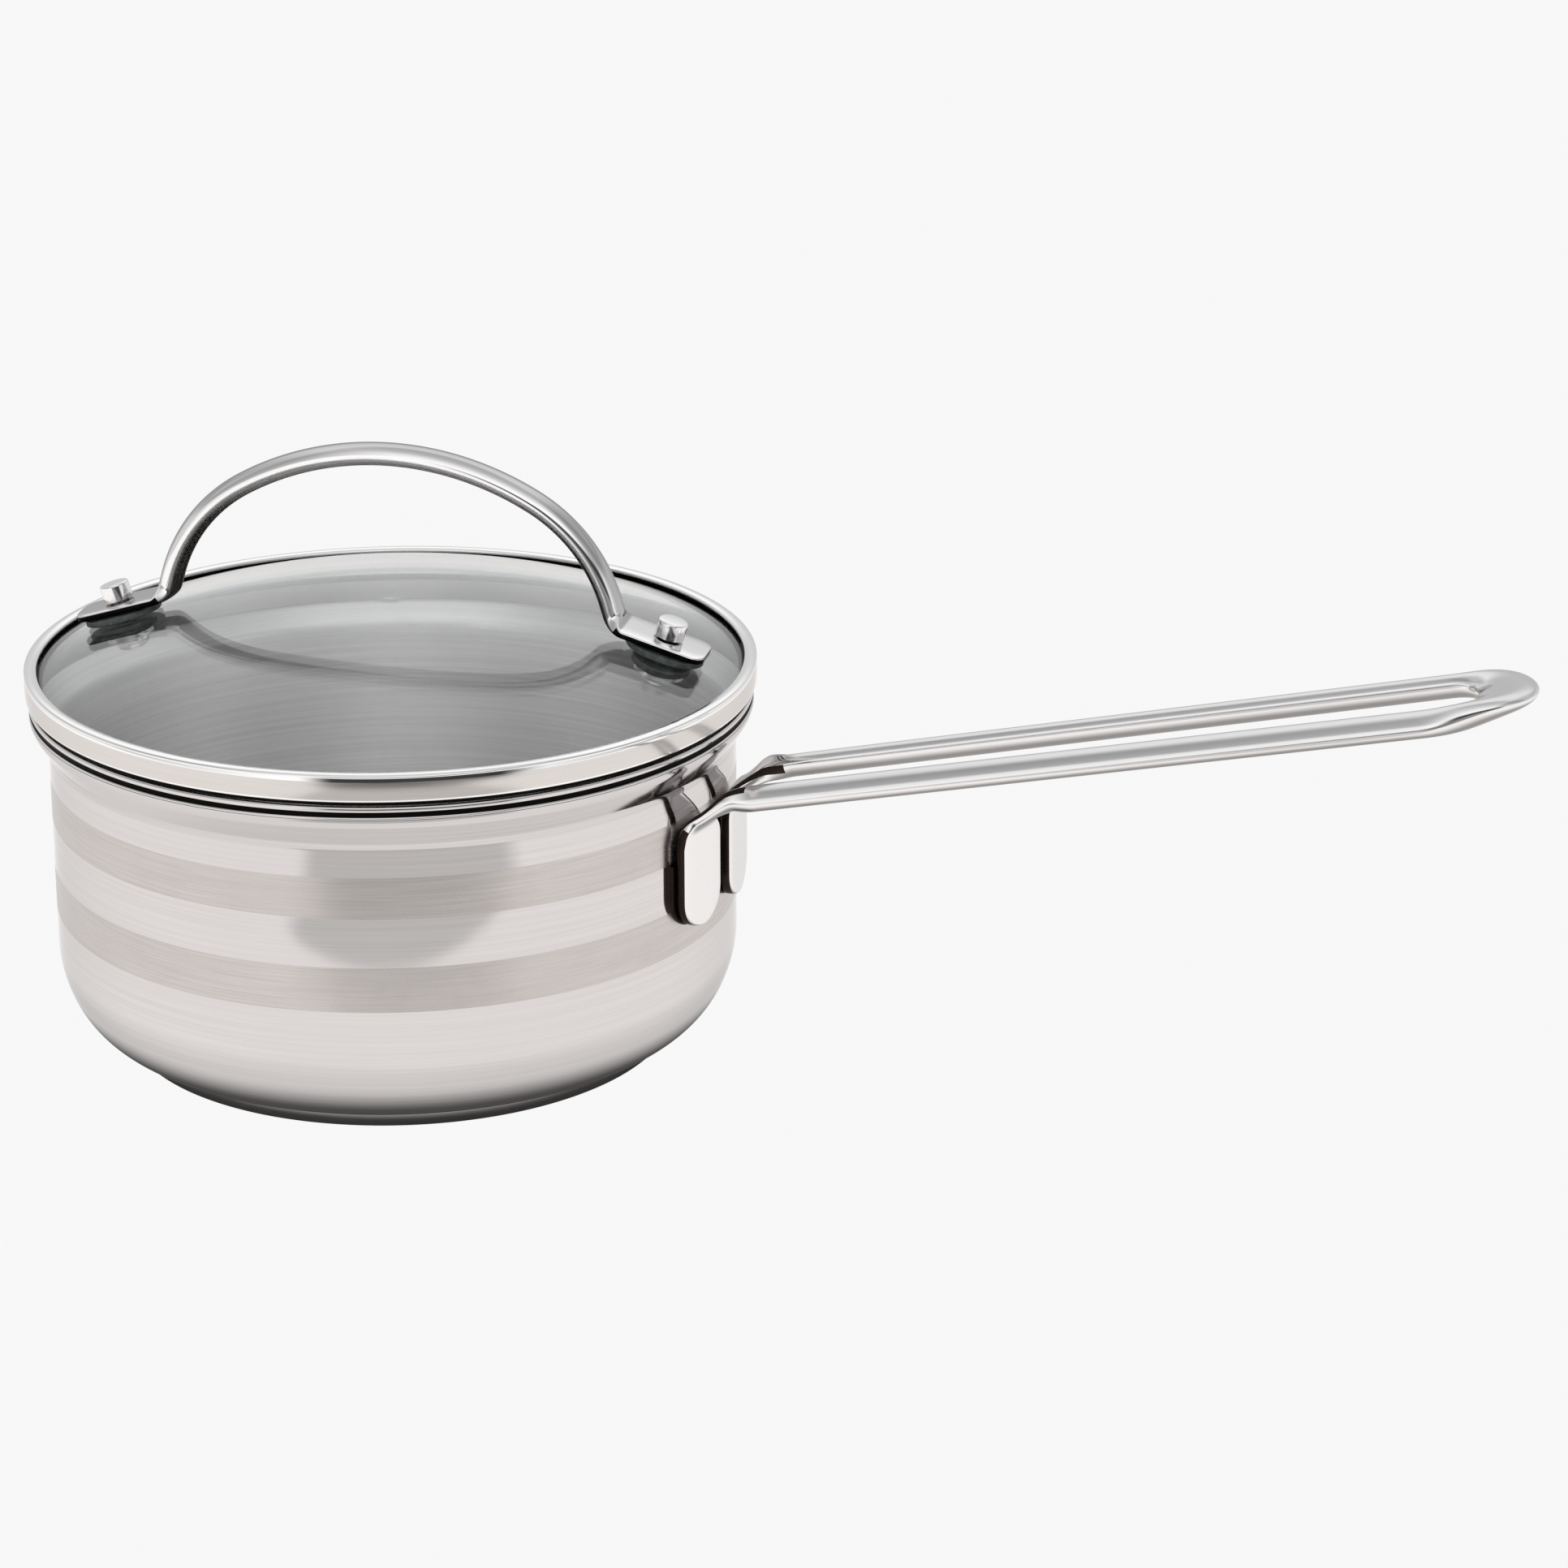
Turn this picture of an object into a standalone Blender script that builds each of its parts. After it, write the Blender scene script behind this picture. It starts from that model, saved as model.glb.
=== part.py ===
"""Stainless steel saucepan with a long wire handle and a domed glass lid.

Frame: origin at the centre of the flat underside of the base, +Z up along the
pot's axis, +X along the long handle. Lengths are metres; the named dimensions
below are millimetres times MM.
"""
import bpy
import bmesh
from math import atan2, cos, hypot, pi, radians, sin, sqrt, tan
from mathutils import Vector

MM = 0.001
GAP = 0.3 * MM                      # clearance between pieces that touch
TURN_SIDES = 48                     # sides of the large turned pieces
SMALL_SIDES = 16                    # sides of the screws, nuts and washers
BAR_SIDES = 12                      # sides of the bent bars
END_SHARES = (0, 0.1, 0.3, 0.6, 1)  # stations over the rounded end of a flat bar
ROUND = 2.0                         # exponent of a round section
FLAT = 5.0                          # exponent of a flat section with rounded edges

# Pot body: a drawn sheet shell
POT_RADIUS = 80.6 * MM              # outside of the wall
SHEET = 0.8 * MM
POT_FLOOR = 4.2 * MM                # underside of the shell above the ground
CORNER_WIDTH = 15.5 * MM            # radial and vertical size of the round corner
CORNER_HEIGHT = 22.0 * MM
FLARE_START = 73.0 * MM             # height where the wall starts to flare
FLARE_BEND = 4.0 * MM               # bend radius at both ends of the flare
FLARE_ANGLE = radians(33)
COLLAR_RADIUS = 84.8 * MM           # outside of the upright collar at the rim
RIM_TOP = 84.9 * MM

# Base: an aluminium disc closed in by a stainless tray
BASE_RADIUS = 65.1 * MM
TRAY_SHEET = 0.6 * MM
TRAY_EDGE = 1.4 * MM                # outer bottom edge radius

# Long handle: one oval bar bent into a loop, its ends flattened and welded on
BAR_WIDTH = 4.8 * MM
BAR_HEIGHT = 6.3 * MM
BAR_LEAN = radians(40)              # the oval leans in at the top on both sides
TAB_WIDTH = 17.0 * MM
TAB_THICKNESS = 3.0 * MM
TAB_BOTTOM = 40.5 * MM
TAB_END_RADIUS = 7.2 * MM
TAB_SPACING = 11.0 * MM             # from the middle plane to each tab's centre
TAB_TAPER = 10.0 * MM               # height over which a tab narrows to its neck
TAB_BEND = 5.0 * MM                 # bend radius between tab and neck
STRAIGHT_END = 8.0 * MM             # the tab is straight up to here below the bend
NECK_WIDTH = 9.0 * MM
NECK_RISE = radians(36)
NECK_BEND = 6.0 * MM                # bend radius between neck and grip
ROUNDING = 12.0 * MM                # length over which the flat neck becomes oval
GRIP_RISE = radians(13.7)
GRIP_START = 90.3 * MM              # distance from the pot's axis
GRIP_START_HEIGHT = 71.5 * MM
GRIP_END = 249.6 * MM               # where the closing bend starts
GRIP_SPACING_START = 11.9 * MM      # from the middle plane to each bar's centre
GRIP_SPACING_END = 13.6 * MM
LOOP_REACH = 15.1 * MM              # length of the closing bend
LOOP_WIDTH = 14.0 * MM              # the bar is wider and thinner at the loop's tip
LOOP_HEIGHT = 5.0 * MM
LOOP_STEPS = 14

# Lid: a domed glass in a steel rim band
DOME_RADIUS = 225.0 * MM
GLASS_RADIUS = 84.4 * MM
GLASS_THICKNESS = 3.6 * MM
GLASS_RINGS = (5 * MM, 20 * MM, 36 * MM, 52 * MM, 68 * MM, 78 * MM)
DOME_CENTRE = -118.33 * MM          # height of the dome sphere's centre
BAND_RADIUS = 85.5 * MM
BAND_TOP = 92.75 * MM
BAND_LIP_RADIUS = 82.6 * MM         # inner edge of the lip over the glass
BAND_LIP_RISE = 0.7 * MM            # height of the lip's round above its sides
BAND_HEM = 1.2 * MM                 # size of the rounded lower edge
SEAT = 85.25 * MM                   # underside of the flange that rests on the rim
SKIRT_RADIUS = 83.3 * MM
SKIRT_BOTTOM = 80.5 * MM
BAND_SHEET = 0.6 * MM

# Lid handle and its fixings
LID_HANDLE_TURN = radians(8.8)      # from the long handle, anticlockwise
ARCH_WIDTH = 7.4 * MM
ARCH_THICKNESS = 5.3 * MM
ARCH_TOP = 143.6 * MM
CROWN_RADIUS = 70.25 * MM           # bar centre line over the middle
CROWN_HALF = radians(30)
SHOULDER_RADIUS = 38.75 * MM
LEG_LEAN = radians(74)              # slope of the legs where they come straight
FOOT_BEND = 5.0 * MM
FOOT_BEND_STEPS = 6
FOOT_WIDTH = 13.5 * MM
FOOT_THICKNESS = 2.0 * MM
FOOT_LENGTH = 9.8 * MM              # from the screw's axis to the foot's end
FOOT_CORNER = 3.2 * MM              # corner radius at the foot's end
SCREW_DISTANCE = 65.5 * MM          # screw hole in the glass from the lid's axis
SCREW_DIAMETER = 4.0 * MM
GLASS_HOLE = 6.0 * MM
CUTTER_DEPTH = 24.0 * MM
SLEEVE_DIAMETER = 5.4 * MM
PAD_LENGTH = 19.0 * MM              # the pad is an oval, wider than the foot
PAD_WIDTH = 15.0 * MM
PAD_SIDES = 24
PAD_THICKNESS = 1.6 * MM
CAP_DIAMETER = 7.0 * MM
CAP_HEIGHT = 4.2 * MM
CAP_EDGE = 0.5 * MM
CAP_ROOF = 1.1 * MM                 # thickness of the closed end
LOWER_PAD_DIAMETER = 14.0 * MM
LOWER_PAD_THICKNESS = 1.4 * MM
WASHER_DIAMETER = 12.0 * MM
WASHER_THICKNESS = 1.0 * MM
SCREW_HEAD_DIAMETER = 8.0 * MM
SCREW_HEAD_HEIGHT = 2.1 * MM
SCREW_HEAD_ROUND = 1.2 * MM         # height of the head's rounded part

# Heights along a screw's own axis, from the glass's outer surface
PAD_TOP = GAP + PAD_THICKNESS
FOOT_BOTTOM = PAD_TOP + GAP
FOOT_TOP = FOOT_BOTTOM + FOOT_THICKNESS
CAP_BOTTOM = FOOT_TOP + GAP
LOWER_PAD_TOP = -GLASS_THICKNESS - GAP
WASHER_TOP = LOWER_PAD_TOP - LOWER_PAD_THICKNESS - GAP
SCREW_HEAD_TOP = WASHER_TOP - WASHER_THICKNESS - GAP
BORE_RADIUS = SCREW_DIAMETER / 2 + GAP


def clear_scene():
    for item in list(bpy.data.objects):
        bpy.data.objects.remove(item, do_unlink=True)


def material(name, colour, metallic, roughness):
    made = bpy.data.materials.new(name)
    made.use_nodes = True
    shader = made.node_tree.nodes["Principled BSDF"]
    shader.inputs["Base Color"].default_value = (*colour, 1.0)
    shader.inputs["Metallic"].default_value = metallic
    shader.inputs["Roughness"].default_value = roughness
    return made


def glass_material():
    made = material("lid_glass", (0.86, 0.90, 0.88), 0.0, 0.02)
    shader = made.node_tree.nodes["Principled BSDF"]
    shader.inputs["Transmission Weight"].default_value = 1.0
    shader.inputs["IOR"].default_value = 1.5
    return made


def skin(name, loops, surface, closed_ring=False):
    """One closed solid from loops of equally many points.

    The first and last loops are capped, or joined to each other in a ring.
    """
    sheet = bmesh.new()
    rows = [[sheet.verts.new(point) for point in loop] for loop in loops]
    pairs = list(zip(rows, rows[1:]))
    if closed_ring:
        pairs.append((rows[-1], rows[0]))
    else:
        sheet.faces.new(rows[0])
        sheet.faces.new(rows[-1])
    for low, high in pairs:
        for index in range(len(low)):
            after = (index + 1) % len(low)
            sheet.faces.new((low[index], low[after], high[after], high[index]))
    bmesh.ops.recalc_face_normals(sheet, faces=sheet.faces)
    mesh = bpy.data.meshes.new(name)
    sheet.to_mesh(mesh)
    sheet.free()
    mesh.materials.append(surface)
    mesh.shade_smooth()
    mesh.set_sharp_from_angle(angle=radians(35))
    return mesh


def place(name, mesh, parent=None, location=(0, 0, 0), rotation=(0, 0, 0)):
    item = bpy.data.objects.new(name, mesh)
    bpy.context.scene.collection.objects.link(item)
    item.parent = parent
    item.location = location
    item.rotation_euler = rotation
    return item


def empty_at(name, location):
    marker = bpy.data.objects.new(name, None)
    bpy.context.scene.collection.objects.link(marker)
    marker.location = location
    return marker


def circle(radius, height, sides):
    turns = [2 * pi * index / sides for index in range(sides)]
    return [Vector((radius * cos(turn), radius * sin(turn), height)) for turn in turns]


def turned(name, profile, surface, sides, closed_ring=False):
    """Solid of revolution about Z from (radius, height) points."""
    loops = [circle(radius, height, sides) for radius, height in profile]
    return skin(name, loops, surface, closed_ring)


def arc(centre, radius, start, end, steps):
    """Points (x, y) on an arc, from one angle to another."""
    angles = [start + (end - start) * step / steps for step in range(steps + 1)]
    return [(centre[0] + radius * cos(a), centre[1] + radius * sin(a)) for a in angles]


def pot_outline(inset, corner_steps, bend_steps):
    """Upward (radius, height) outline of the shell, moved inwards by inset."""
    corner_centre = (POT_RADIUS - CORNER_WIDTH, POT_FLOOR + CORNER_HEIGHT)
    outline = []
    for step in range(corner_steps + 1):
        turn = (pi / 2) * step / corner_steps
        out = corner_centre[0] + (CORNER_WIDTH - inset) * sin(turn)
        up = corner_centre[1] - (CORNER_HEIGHT - inset) * cos(turn)
        outline.append((out, up))
    lower = (POT_RADIUS + FLARE_BEND, FLARE_START)
    outline += arc(lower, FLARE_BEND + inset, pi, pi - FLARE_ANGLE, bend_steps)
    across = COLLAR_RADIUS - POT_RADIUS - 2 * FLARE_BEND * (1 - cos(FLARE_ANGLE))
    rise = 2 * FLARE_BEND * sin(FLARE_ANGLE) + across / tan(FLARE_ANGLE)
    upper = (COLLAR_RADIUS - FLARE_BEND, FLARE_START + rise)
    outline += arc(upper, FLARE_BEND - inset, -FLARE_ANGLE, 0, bend_steps)
    return outline


def make_pot_body(steel):
    outside = pot_outline(0.0, 8, 3)
    inside = pot_outline(SHEET, 8, 3)
    edge_centre = (COLLAR_RADIUS - SHEET / 2, RIM_TOP - SHEET / 2)
    edge = arc(edge_centre, SHEET / 2, 0, pi, 4)
    profile = outside + edge + inside[::-1]
    place("pot_body", turned("pot_body", profile, steel, TURN_SIDES))


def make_base(steel, aluminium):
    tray_top = POT_FLOOR - GAP
    corner = (BASE_RADIUS - TRAY_EDGE, TRAY_EDGE)
    profile = arc(corner, TRAY_EDGE, -pi / 2, 0, 3)
    profile += [(BASE_RADIUS, tray_top), (BASE_RADIUS - TRAY_SHEET, tray_top)]
    profile += arc(corner, TRAY_EDGE - TRAY_SHEET, 0, -pi / 2, 2)
    place("base_tray", turned("base_tray", profile, steel, TURN_SIDES))

    core_radius = BASE_RADIUS - TRAY_SHEET - GAP
    core_bottom = TRAY_SHEET + GAP
    bevel = TRAY_EDGE - TRAY_SHEET
    profile = [(core_radius - bevel, core_bottom), (core_radius, core_bottom + bevel),
               (core_radius, tray_top)]
    place("base_core", turned("base_core", profile, aluminium, TURN_SIDES))


def blend(start, end, amount):
    """Smooth step from start to end as amount goes from 0 to 1."""
    share = min(max(amount, 0.0), 1.0)
    return start + (end - start) * share * share * (3 - 2 * share)


def section(centre, width_axis, normal, width, thickness, squareness):
    """Loop around a bar: round when squareness is 2, boxier above it."""
    loop = []
    for index in range(BAR_SIDES):
        turn = 2 * pi * (index + 0.5) / BAR_SIDES
        side = abs(cos(turn)) ** (2 / squareness) * (1 if cos(turn) > 0 else -1)
        rise = abs(sin(turn)) ** (2 / squareness) * (1 if sin(turn) > 0 else -1)
        loop.append(centre + width_axis * (side * width / 2) + normal * (rise * thickness / 2))
    return loop


def rounded_end_width(distance, width, end_radius):
    """Full width of a flat bar at a distance from its rounded end."""
    if distance >= end_radius:
        return width
    inset = end_radius - sqrt(end_radius ** 2 - (end_radius - distance) ** 2)
    return width - 2 * inset


def bend_points(corner, incoming, outgoing, radius, steps):
    """Points (distance, height) round a bend between two slopes."""
    half = abs(incoming - outgoing) / 2
    reach = radius * tan(half)
    turn_side = -1 if outgoing < incoming else 1
    start = (corner[0] - reach * cos(incoming), corner[1] - reach * sin(incoming))
    centre = (start[0] - turn_side * radius * sin(incoming),
              start[1] + turn_side * radius * cos(incoming))
    first = incoming - turn_side * pi / 2
    last = outgoing - turn_side * pi / 2
    return arc(centre, radius, first, last, steps)


def leaned(upward, inward, lean):
    """Thickness direction of a bar that leans inwards at the top."""
    return upward * cos(lean) + inward * sin(lean)


def handle_side(side):
    """Stations of one side of the long handle, from the tab's end to the loop.

    Each station is (point, thickness direction, width, thickness, squareness).
    """
    wall = POT_RADIUS + GAP + TAB_THICKNESS / 2
    azimuth = side * atan2(TAB_SPACING, wall)
    foot = wall * cos(azimuth)
    foot_offset = wall * sin(azimuth)
    knee = (foot, GRIP_START_HEIGHT - (GRIP_START - foot) * tan(NECK_RISE))
    neck_corner = (GRIP_START, GRIP_START_HEIGHT)

    line = [(foot, TAB_BOTTOM + TAB_END_RADIUS * share) for share in END_SHARES]
    line += [(foot, knee[1] - STRAIGHT_END)]
    line += bend_points(knee, pi / 2, NECK_RISE, TAB_BEND, 5)
    line += bend_points(neck_corner, NECK_RISE, GRIP_RISE, NECK_BEND, 3)
    for past in (ROUNDING / 4, ROUNDING / 2):
        line.append((GRIP_START + past, GRIP_START_HEIGHT + past * tan(GRIP_RISE)))
    line += [(GRIP_END, GRIP_START_HEIGHT + (GRIP_END - GRIP_START) * tan(GRIP_RISE))]

    stations = []
    for index, (reach, height) in enumerate(line):
        before = line[max(index - 1, 0)]
        after = line[min(index + 1, len(line) - 1)]
        slope = atan2(after[1] - before[1], after[0] - before[0])
        along_neck = (reach - foot) / (GRIP_START - foot)
        along_grip = (reach - GRIP_START) / (GRIP_END - GRIP_START)
        if along_grip > 0:
            spacing = GRIP_SPACING_START + (GRIP_SPACING_END - GRIP_SPACING_START) * along_grip
            offset = side * spacing
        else:
            offset = blend(foot_offset, side * GRIP_SPACING_START, along_neck)
        twist = blend(azimuth, 0.0, along_neck)
        upward = Vector((-sin(slope) * cos(twist), -sin(slope) * sin(twist), cos(slope)))
        narrowing = (height - knee[1]) / TAB_TAPER + 0.5
        tab = rounded_end_width(height - TAB_BOTTOM, TAB_WIDTH, TAB_END_RADIUS)
        roundness = (reach - GRIP_START) / ROUNDING + 0.5
        width = blend(blend(tab, NECK_WIDTH, narrowing), BAR_WIDTH, roundness)
        thickness = blend(TAB_THICKNESS, BAR_HEIGHT, roundness)
        normal = leaned(upward, Vector((0, -side, 0)), blend(0.0, BAR_LEAN, roundness))
        squareness = blend(FLAT, ROUND, roundness)
        point = Vector((reach, offset, height))
        stations.append((point, normal, width, thickness, squareness))
    return stations


def handle_loop_stations():
    """Stations round the closing bend, between the two sides."""
    upward = Vector((-sin(GRIP_RISE), 0, cos(GRIP_RISE)))
    stations = []
    for step in range(1, LOOP_STEPS):
        turn = pi * step / LOOP_STEPS
        swell = sin(turn) ** 2
        reach = GRIP_END + LOOP_REACH * sin(turn)
        height = GRIP_START_HEIGHT + (reach - GRIP_START) * tan(GRIP_RISE)
        point = Vector((reach, GRIP_SPACING_END * cos(turn), height))
        inward = Vector((-sin(turn), -cos(turn), 0))
        normal = leaned(upward, inward, BAR_LEAN * (1 - swell))
        width = BAR_WIDTH + (LOOP_WIDTH - BAR_WIDTH) * swell
        thickness = BAR_HEIGHT + (LOOP_HEIGHT - BAR_HEIGHT) * swell
        stations.append((point, normal, width, thickness, ROUND))
    return stations


def sweep(stations):
    """Loops across a bar, each square to the bar's path at its station."""
    loops = []
    for index, (point, normal, width, thickness, squareness) in enumerate(stations):
        before = stations[max(index - 1, 0)][0]
        after = stations[min(index + 1, len(stations) - 1)][0]
        along = (after - before).normalized()
        width_axis = along.cross(normal).normalized()
        across = width_axis.cross(along).normalized()
        loops.append(section(point, width_axis, across, width, thickness, squareness))
    return loops


def make_long_handle(steel):
    stations = handle_side(1) + handle_loop_stations() + handle_side(-1)[::-1]
    place("long_handle", skin("long_handle", sweep(stations), steel))


def dome_height(distance, radius):
    return DOME_CENTRE + sqrt(radius ** 2 - distance ** 2)


def screw_tilt():
    """Slope of the dome where the screws pass through it."""
    return atan2(SCREW_DISTANCE, sqrt(DOME_RADIUS ** 2 - SCREW_DISTANCE ** 2))


def screw_places():
    """Location and rotation of each screw's axis on the glass."""
    places = []
    for suffix, turn in (("right", LID_HANDLE_TURN), ("left", LID_HANDLE_TURN + pi)):
        height = dome_height(SCREW_DISTANCE, DOME_RADIUS)
        location = (SCREW_DISTANCE * cos(turn), SCREW_DISTANCE * sin(turn), height)
        places.append((suffix, location, (0.0, screw_tilt(), turn)))
    return places


def cutters(prefix, diameter, parent):
    """Round cutters along both screws' axes, kept out of the model."""
    made = []
    for suffix, location, rotation in screw_places():
        bpy.ops.mesh.primitive_cylinder_add(
            vertices=SMALL_SIDES, radius=diameter / 2, depth=CUTTER_DEPTH)
        tool = bpy.context.object
        tool.name = prefix + "_" + suffix
        tool.parent = parent
        tool.location = location
        tool.rotation_euler = rotation
        tool.hide_render = True
        tool.display_type = "WIRE"
        made.append(tool)
    return made


def cut(item, tools):
    for tool in tools:
        step = item.modifiers.new(tool.name, "BOOLEAN")
        step.operation = "DIFFERENCE"
        step.object = tool


def make_lid_glass(glass, lid):
    rings = [*GLASS_RINGS, GLASS_RADIUS]
    inner = DOME_RADIUS - GLASS_THICKNESS
    profile = [(ring, dome_height(ring, DOME_RADIUS)) for ring in rings]
    profile += [(ring, dome_height(ring, inner)) for ring in rings[::-1]]
    item = place("lid_glass", turned("lid_glass", profile, glass, TURN_SIDES), lid)
    cut(item, cutters("glass_hole", GLASS_HOLE, lid))


def make_lid_band(steel, lid):
    inside = BAND_RADIUS - BAND_SHEET
    lip_bottom = dome_height(BAND_LIP_RADIUS, DOME_RADIUS) + GAP
    shelf = dome_height(GLASS_RADIUS, DOME_RADIUS - GLASS_THICKNESS) - GAP
    lip_middle = (BAND_LIP_RADIUS + BAND_RADIUS) / 2
    lip_half = (BAND_RADIUS - BAND_LIP_RADIUS) / 2
    crown = BAND_TOP - BAND_LIP_RISE
    profile = [(SKIRT_RADIUS, SEAT), (BAND_RADIUS - BAND_HEM, SEAT)]
    profile += [(BAND_RADIUS - BAND_HEM / 3, SEAT + BAND_HEM / 3), (BAND_RADIUS, SEAT + BAND_HEM)]
    for step in range(7):
        turn = pi * step / 6
        profile.append((lip_middle + lip_half * cos(turn), crown + BAND_LIP_RISE * sin(turn)))
    profile += [(BAND_LIP_RADIUS, lip_bottom), (inside, lip_bottom), (inside, shelf)]
    skirt_inside = SKIRT_RADIUS - BAND_SHEET
    profile += [(skirt_inside, shelf), (skirt_inside, SKIRT_BOTTOM), (SKIRT_RADIUS, SKIRT_BOTTOM)]
    place("lid_band", turned("lid_band", profile, steel, TURN_SIDES, True), lid)


def lid_handle_line():
    """Right half of the lid handle's centre line, from the foot's end to the top."""
    tilt = screw_tilt()
    foot_height = (FOOT_BOTTOM + FOOT_TOP) / 2
    middle = (SCREW_DISTANCE + foot_height * sin(tilt),
              dome_height(SCREW_DISTANCE, DOME_RADIUS) + foot_height * cos(tilt))
    crown_centre = ARCH_TOP - ARCH_THICKNESS / 2 - CROWN_RADIUS
    joint = (CROWN_RADIUS * sin(CROWN_HALF), crown_centre + CROWN_RADIUS * cos(CROWN_HALF))
    centre = (joint[0] - SHOULDER_RADIUS * sin(CROWN_HALF),
              joint[1] - SHOULDER_RADIUS * cos(CROWN_HALF))
    leg_top = (centre[0] + SHOULDER_RADIUS * sin(LEG_LEAN),
               centre[1] + SHOULDER_RADIUS * cos(LEG_LEAN))
    # The leg's line and the foot's line meet at the knee.
    leg_fall = tan(LEG_LEAN)
    foot_fall = tan(tilt)
    knee_out = (leg_top[1] - middle[1] + leg_fall * leg_top[0] - foot_fall * middle[0])
    knee_out /= leg_fall - foot_fall
    knee = (knee_out, middle[1] - foot_fall * (knee_out - middle[0]))

    line = []
    for share in END_SHARES:
        beyond = FOOT_LENGTH - FOOT_CORNER * share
        line.append((middle[0] + beyond * cos(tilt), middle[1] - beyond * sin(tilt)))
    line += bend_points(knee, pi - tilt, pi - LEG_LEAN, FOOT_BEND, FOOT_BEND_STEPS)
    shoulder = arc(centre, SHOULDER_RADIUS, pi / 2 - LEG_LEAN, pi / 2 - CROWN_HALF, 6)
    crown = arc((0, crown_centre), CROWN_RADIUS, pi / 2 - CROWN_HALF, pi / 2, 5)
    return line, shoulder + crown[1:]


def make_lid_handle(steel, lid):
    foot_line, arch_line = lid_handle_line()
    half = foot_line + arch_line
    line = half + [(-out, up) for out, up in half[-2::-1]]
    flat = len(foot_line) - FOOT_BEND_STEPS - 1
    stations = []
    for index, (out, up) in enumerate(line):
        before = line[max(index - 1, 0)]
        after = line[min(index + 1, len(line) - 1)]
        slope = atan2(after[1] - before[1], after[0] - before[0])
        from_end = min(index, len(line) - 1 - index)
        end = line[0] if index <= len(line) // 2 else line[-1]
        distance = hypot(out - end[0], up - end[1])
        width = rounded_end_width(distance, FOOT_WIDTH, FOOT_CORNER)
        roundness = (from_end - flat) / FOOT_BEND_STEPS
        normal = Vector((sin(slope), 0, -cos(slope)))
        stations.append((
            Vector((out, 0, up)),
            normal,
            blend(width, ARCH_WIDTH, roundness),
            blend(FOOT_THICKNESS, ARCH_THICKNESS, roundness),
            blend(FLAT, ROUND, roundness),
        ))
    mesh = skin("lid_handle", sweep(stations), steel)
    item = place("lid_handle", mesh, lid, rotation=(0, 0, LID_HANDLE_TURN))
    cut(item, cutters("foot_hole", 2 * BORE_RADIUS, lid))


def foot_pad_mesh(rubber):
    """Oval pad under a foot, with a sleeve that lines the hole in the glass."""
    stretch = PAD_LENGTH / PAD_WIDTH
    outline = [Vector((point.x * stretch, point.y, 0))
               for point in circle(PAD_WIDTH / 2, 0.0, PAD_SIDES)]

    def raised(loop, height):
        return [Vector((point.x, point.y, height)) for point in loop]

    sleeve = circle(SLEEVE_DIAMETER / 2, 0.0, PAD_SIDES)
    bore = circle(BORE_RADIUS, 0.0, PAD_SIDES)
    sleeve_bottom = -GLASS_THICKNESS + GAP
    loops = [raised(outline, PAD_TOP), raised(outline, GAP), raised(sleeve, GAP),
             raised(sleeve, sleeve_bottom), raised(bore, sleeve_bottom), raised(bore, PAD_TOP)]
    return skin("foot_pad", loops, rubber, True)


def washer_mesh(name, diameter, top, thickness, surface):
    profile = [(BORE_RADIUS, top), (diameter / 2, top),
               (diameter / 2, top - thickness), (BORE_RADIUS, top - thickness)]
    return turned(name, profile, surface, SMALL_SIDES, True)


def cap_nut_mesh(steel):
    """Cylindrical cap nut, open below, that hides the screw's end."""
    radius = CAP_DIAMETER / 2
    top = CAP_BOTTOM + CAP_HEIGHT
    profile = [(radius - CAP_EDGE, top), (radius - CAP_EDGE / 3, top - CAP_EDGE / 3),
               (radius, top - CAP_EDGE), (radius, CAP_BOTTOM), (BORE_RADIUS, CAP_BOTTOM),
               (BORE_RADIUS, top - CAP_ROOF)]
    return turned("cap_nut", profile, steel, SMALL_SIDES)


def screw_mesh(steel):
    """Pan head screw that comes up through the lid from below."""
    head = SCREW_HEAD_DIAMETER / 2
    bottom = SCREW_HEAD_TOP - SCREW_HEAD_HEIGHT
    shank = SCREW_DIAMETER / 2
    end = CAP_BOTTOM + CAP_HEIGHT - CAP_ROOF - GAP
    profile = [(head * 0.6, bottom), (head * 0.9, bottom + SCREW_HEAD_ROUND * 0.4),
               (head, bottom + SCREW_HEAD_ROUND)]
    profile += [(head, SCREW_HEAD_TOP), (shank, SCREW_HEAD_TOP), (shank, end)]
    return turned("lid_screw", profile, steel, SMALL_SIDES)


def make_fixings(steel, rubber, lid):
    lower_pad = washer_mesh("lower_pad", LOWER_PAD_DIAMETER, LOWER_PAD_TOP,
                            LOWER_PAD_THICKNESS, rubber)
    washer = washer_mesh("washer", WASHER_DIAMETER, WASHER_TOP, WASHER_THICKNESS, steel)
    meshes = {
        "cap_nut": cap_nut_mesh(steel),
        "foot_pad": foot_pad_mesh(rubber),
        "lower_pad": lower_pad,
        "washer": washer,
        "lid_screw": screw_mesh(steel),
    }
    for suffix, location, rotation in screw_places():
        for name, mesh in meshes.items():
            place(name + "_" + suffix, mesh, lid, location, rotation)


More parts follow.
